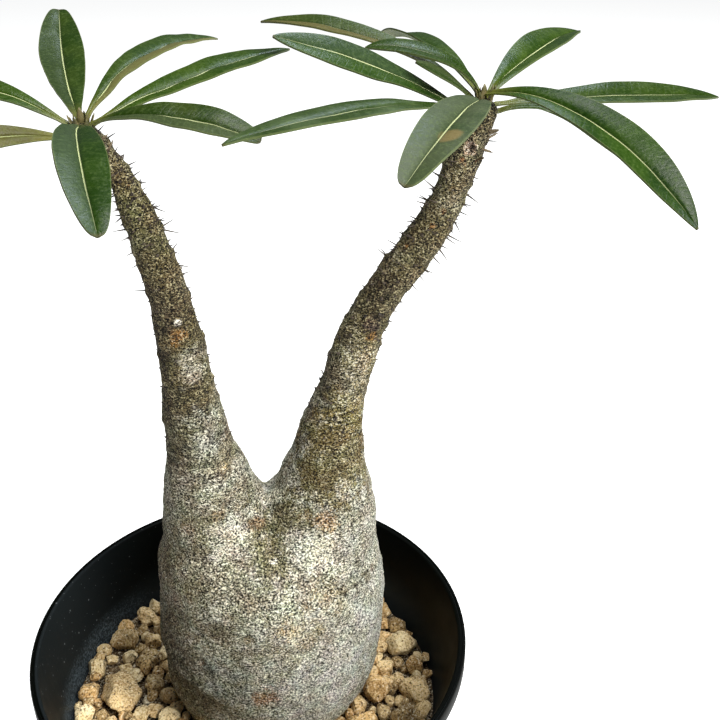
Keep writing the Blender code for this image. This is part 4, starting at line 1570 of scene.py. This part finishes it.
def trunk_reach(height):
    """The caudex's middle as x and its half width, at a height over the rim."""
    for (x0, z0, r0), (x1, z1, r1) in zip(CAUDEX, CAUDEX[1:]):
        if z0 <= height <= z1:
            share = (height - z0) / (z1 - z0)
            return x0 + (x1 - x0) * share, r0 + (r1 - r0) * share
    return 0.0, 0.0


def resting_height(x, y, width, lying):
    """Where a small stone comes to rest on the bed or on the stones that already lie there."""
    z = GRAVEL_TOP / MM + width * 0.36
    for other_x, other_y, other_z, reach, tall in lying:
        gap = math.hypot(x - other_x, y - other_y)
        near = (reach + width / 2) * NESTING
        if gap < near:
            z = max(z, other_z + (tall + width * 0.4) * NESTING * math.sqrt(1 - (gap / near) ** 2))
    return z


def has_room(x, y, z, width):
    """Whether a small stone clears the caudex and the pot's wall, and the heap isn't too high."""
    middle, reach = trunk_reach(z - POT_HEIGHT / MM)
    off = math.hypot(x - middle, y / DEPTH_SHARE)
    wall = inner_radius(z * MM) / MM
    return off >= reach + width * 0.42 and math.hypot(x, y) <= wall - width * 0.5 and z <= HEAP_TOP


def settle_stones(chance):
    """Drops small stones on the bed, the widest first; each takes the lowest of its tries."""
    lying = []
    for x, y, width, depth, height, _ in STONES:
        lying.append((x, y, STONE_REST / MM + height * STONE_MIDDLE, (width + depth) / 4, height / 2))
    wanted = []
    for colour, count, smallest, largest in SMALL_STONES:
        wanted += [(colour, chance.uniform(smallest, largest)) for _ in range(count)]
    wanted.sort(key=lambda pick: -pick[1])
    settled = []
    for colour, width in wanted:
        best = None
        for _ in range(SETTLE_TRIES):
            angle = chance.uniform(0, math.tau)
            away = BED_REACH * math.sqrt(chance.uniform(0.05, 1))
            x, y = away * math.cos(angle), away * math.sin(angle)
            z = resting_height(x, y, width, lying)
            if has_room(x, y, z, width) and (best is None or z < best[2]):
                best = (x, y, z)
        if best is not None:
            lying.append((*best, width / 2, width * 0.4))
            settled.append((colour, width, best))
    return settled


def make_small_stones(finishes, chance):
    """The small stones between the large ones, as one piece for each colour."""
    shapes = make_chip_shapes(chance)
    made = {}
    for index, (colour, width, place) in enumerate(settle_stones(chance)):
        shape = shapes[chance.randrange(CHIP_SHAPES)]
        lean = Euler((chance.gauss(0, 0.35), chance.gauss(0, 0.35), chance.uniform(0, math.tau)))
        sized = Matrix.Diagonal((width * MM, width * MM, width * MM, 1))
        placing = Matrix.Translation(Vector(place) * MM) @ lean.to_matrix().to_4x4() @ sized
        made.setdefault(colour, []).append(copy_of(shape, f"chip_{index}", placing))
    for shape in shapes:
        remove_piece(shape)
    for colour, chips in made.items():
        slot = "stone_cream" if colour == "pale" else f"stone_{colour}"
        finish_piece(join(chips, f"small_stones_{colour}"), slot, finishes[colour])


def make_fine_gravel(gravel):
    """The grit between the stones: a disc of small pebbles over the bed, dark as painted shade in the gaps.
    """
    reach = inner_radius(GRAVEL_TOP) - 0.4 * MM
    bpy.ops.mesh.primitive_grid_add(x_subdivisions=GRIT_CELLS, y_subdivisions=GRIT_CELLS, size=2 * reach)
    grit = new_piece("fine_gravel")
    edit(grit)
    select_where(grit, lambda co: co.xy.length > reach)
    bpy.ops.mesh.delete(type="VERT")
    bpy.ops.mesh.select_all(action="SELECT")
    bpy.ops.transform.translate(value=(0, 0, GRAVEL_TOP - 0.9 * MM))
    bpy.ops.mesh.extrude_region_move(TRANSFORM_OT_translate={"value": (0, 0, 1.1 * MM)})
    leave_edit()
    upper = grit.vertex_groups.new(name="upper")
    upper.add([v.index for v in grit.data.vertices if v.co.z > GRAVEL_TOP], 1.0, "REPLACE")
    pebbles = lumps(grit, "VORONOI", 2.6 * MM, -1.7 * MM, middle=0.4)
    small = lumps(grit, "CLOUDS", 0.9 * MM, 0.7 * MM)
    for layer in (pebbles, small):
        layer.vertex_group = "upper"
        layer.direction = "Z"
    apply_modifiers(grit)
    make_active(grit)
    bpy.ops.object.shade_smooth()
    finish_piece(grit, "gravel", gravel)


# Stage


def make_floor():
    bpy.ops.mesh.primitive_plane_add(size=12)
    floor = new_piece("studio_floor")
    made, tree, shader, place = new_material("pale_floor", (0.9, 0.9, 0.9))
    tone = mix(tree, noise(tree, place, 3, 2), (0.84, 0.84, 0.84), (0.88, 0.88, 0.88))
    tree.links.new(tone, shader.inputs["Base Color"])
    shader.inputs["Roughness"].default_value = 0.85
    shader.inputs["Emission Color"].default_value = (1, 1, 1, 1)
    seen = node(tree, "LightPath").outputs["Is Camera Ray"]
    tree.links.new(times(tree, seen, FLOOR_GLOW), shader.inputs["Emission Strength"])
    floor.data.materials.append(made)


def make_lights():
    for name, place, target, size, power, colour in LIGHTS:
        lamp = bpy.data.lights.new(name, "AREA")
        lamp.shape = "DISK"
        lamp.size = size
        lamp.energy = power
        lamp.color = colour
        stand = bpy.data.objects.new(name, lamp)
        stand.location = place
        stand.rotation_euler = (Vector(target) - Vector(place)).to_track_quat("-Z", "Y").to_euler()
        bpy.context.scene.collection.objects.link(stand)
    world = bpy.data.worlds.new("studio_air")
    world.use_nodes = True
    world.node_tree.nodes["Background"].inputs["Color"].default_value = (0.93, 0.97, 1.0, 1)
    world.node_tree.nodes["Background"].inputs["Strength"].default_value = AIR_LIGHT
    bpy.context.scene.world = world
    bpy.context.scene.view_settings.view_transform = "Standard"


def make_camera():
    lens = bpy.data.cameras.new("camera")
    lens.lens = 47
    lens.sensor_width = 36
    lens.clip_start = 0.01
    camera = bpy.data.objects.new("camera", lens)
    camera.location = (0.0, -0.199, 0.2976)
    camera.rotation_euler = (math.radians(61.4), 0, math.radians(-8.8))
    bpy.context.scene.collection.objects.link(camera)
    bpy.context.scene.camera = camera


def make_dressing(bed, grains, chance):
    """The pumice on the bed: the grit, the large stones and the small ones between them."""
    finishes = {}
    for colour, tints in PUMICE.items():
        finishes[colour] = pumice_material(f"{colour}_pumice", *tints, grains)
    gravel = pumice_material("grit_painted_gap_shade", *GRIT_PAINTED_GAP_SHADE, grains)
    for slot in bed.material_slots:
        slot.material = gravel
    make_fine_gravel(gravel)
    make_stones(finishes, chance)
    make_small_stones(finishes, chance)


def make_plant(grains, chance):
    """The body with its knobs and spines, the crowns and the leaves."""
    knob_places = stem_places(LEFT_BRANCH, KNOBS_FROM, KNOBS_APART, chance)
    knob_places += stem_places(RIGHT_BRANCH, KNOBS_FROM, KNOBS_APART, chance)
    stub_places = stem_places(LEFT_BRANCH, 3.6, STUBS_APART, chance)
    stub_places += stem_places(RIGHT_BRANCH, 3.8, STUBS_APART, chance)
    make_body(bark_material(grains, make_patch_group()), knob_places, chance)
    dry = plain_grain_material("dry_spine", (0.022, 0.016, 0.012), (0.085, 0.062, 0.042), 0.6)
    make_spines(dry, knob_places, stub_places, chance)
    bud = plain_grain_material("bud_scale", (0.075, 0.075, 0.022), (0.16, 0.13, 0.05), 0.5)
    husk = plain_grain_material("dried_husk", (0.30, 0.24, 0.15), (0.13, 0.09, 0.05), 0.7)
    make_crown_bits(bud, husk, chance)
    make_leaves()


def main():
    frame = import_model()
    chance = random.Random(SEED)
    grains = make_grain_group()
    make_camera()
    make_floor()
    make_lights()
    make_pot(plastic_material(make_dust_group()))
    make_dressing(frame["nodes"]["gravel_bed"], grains, chance)
    make_plant(grains, chance)


main()
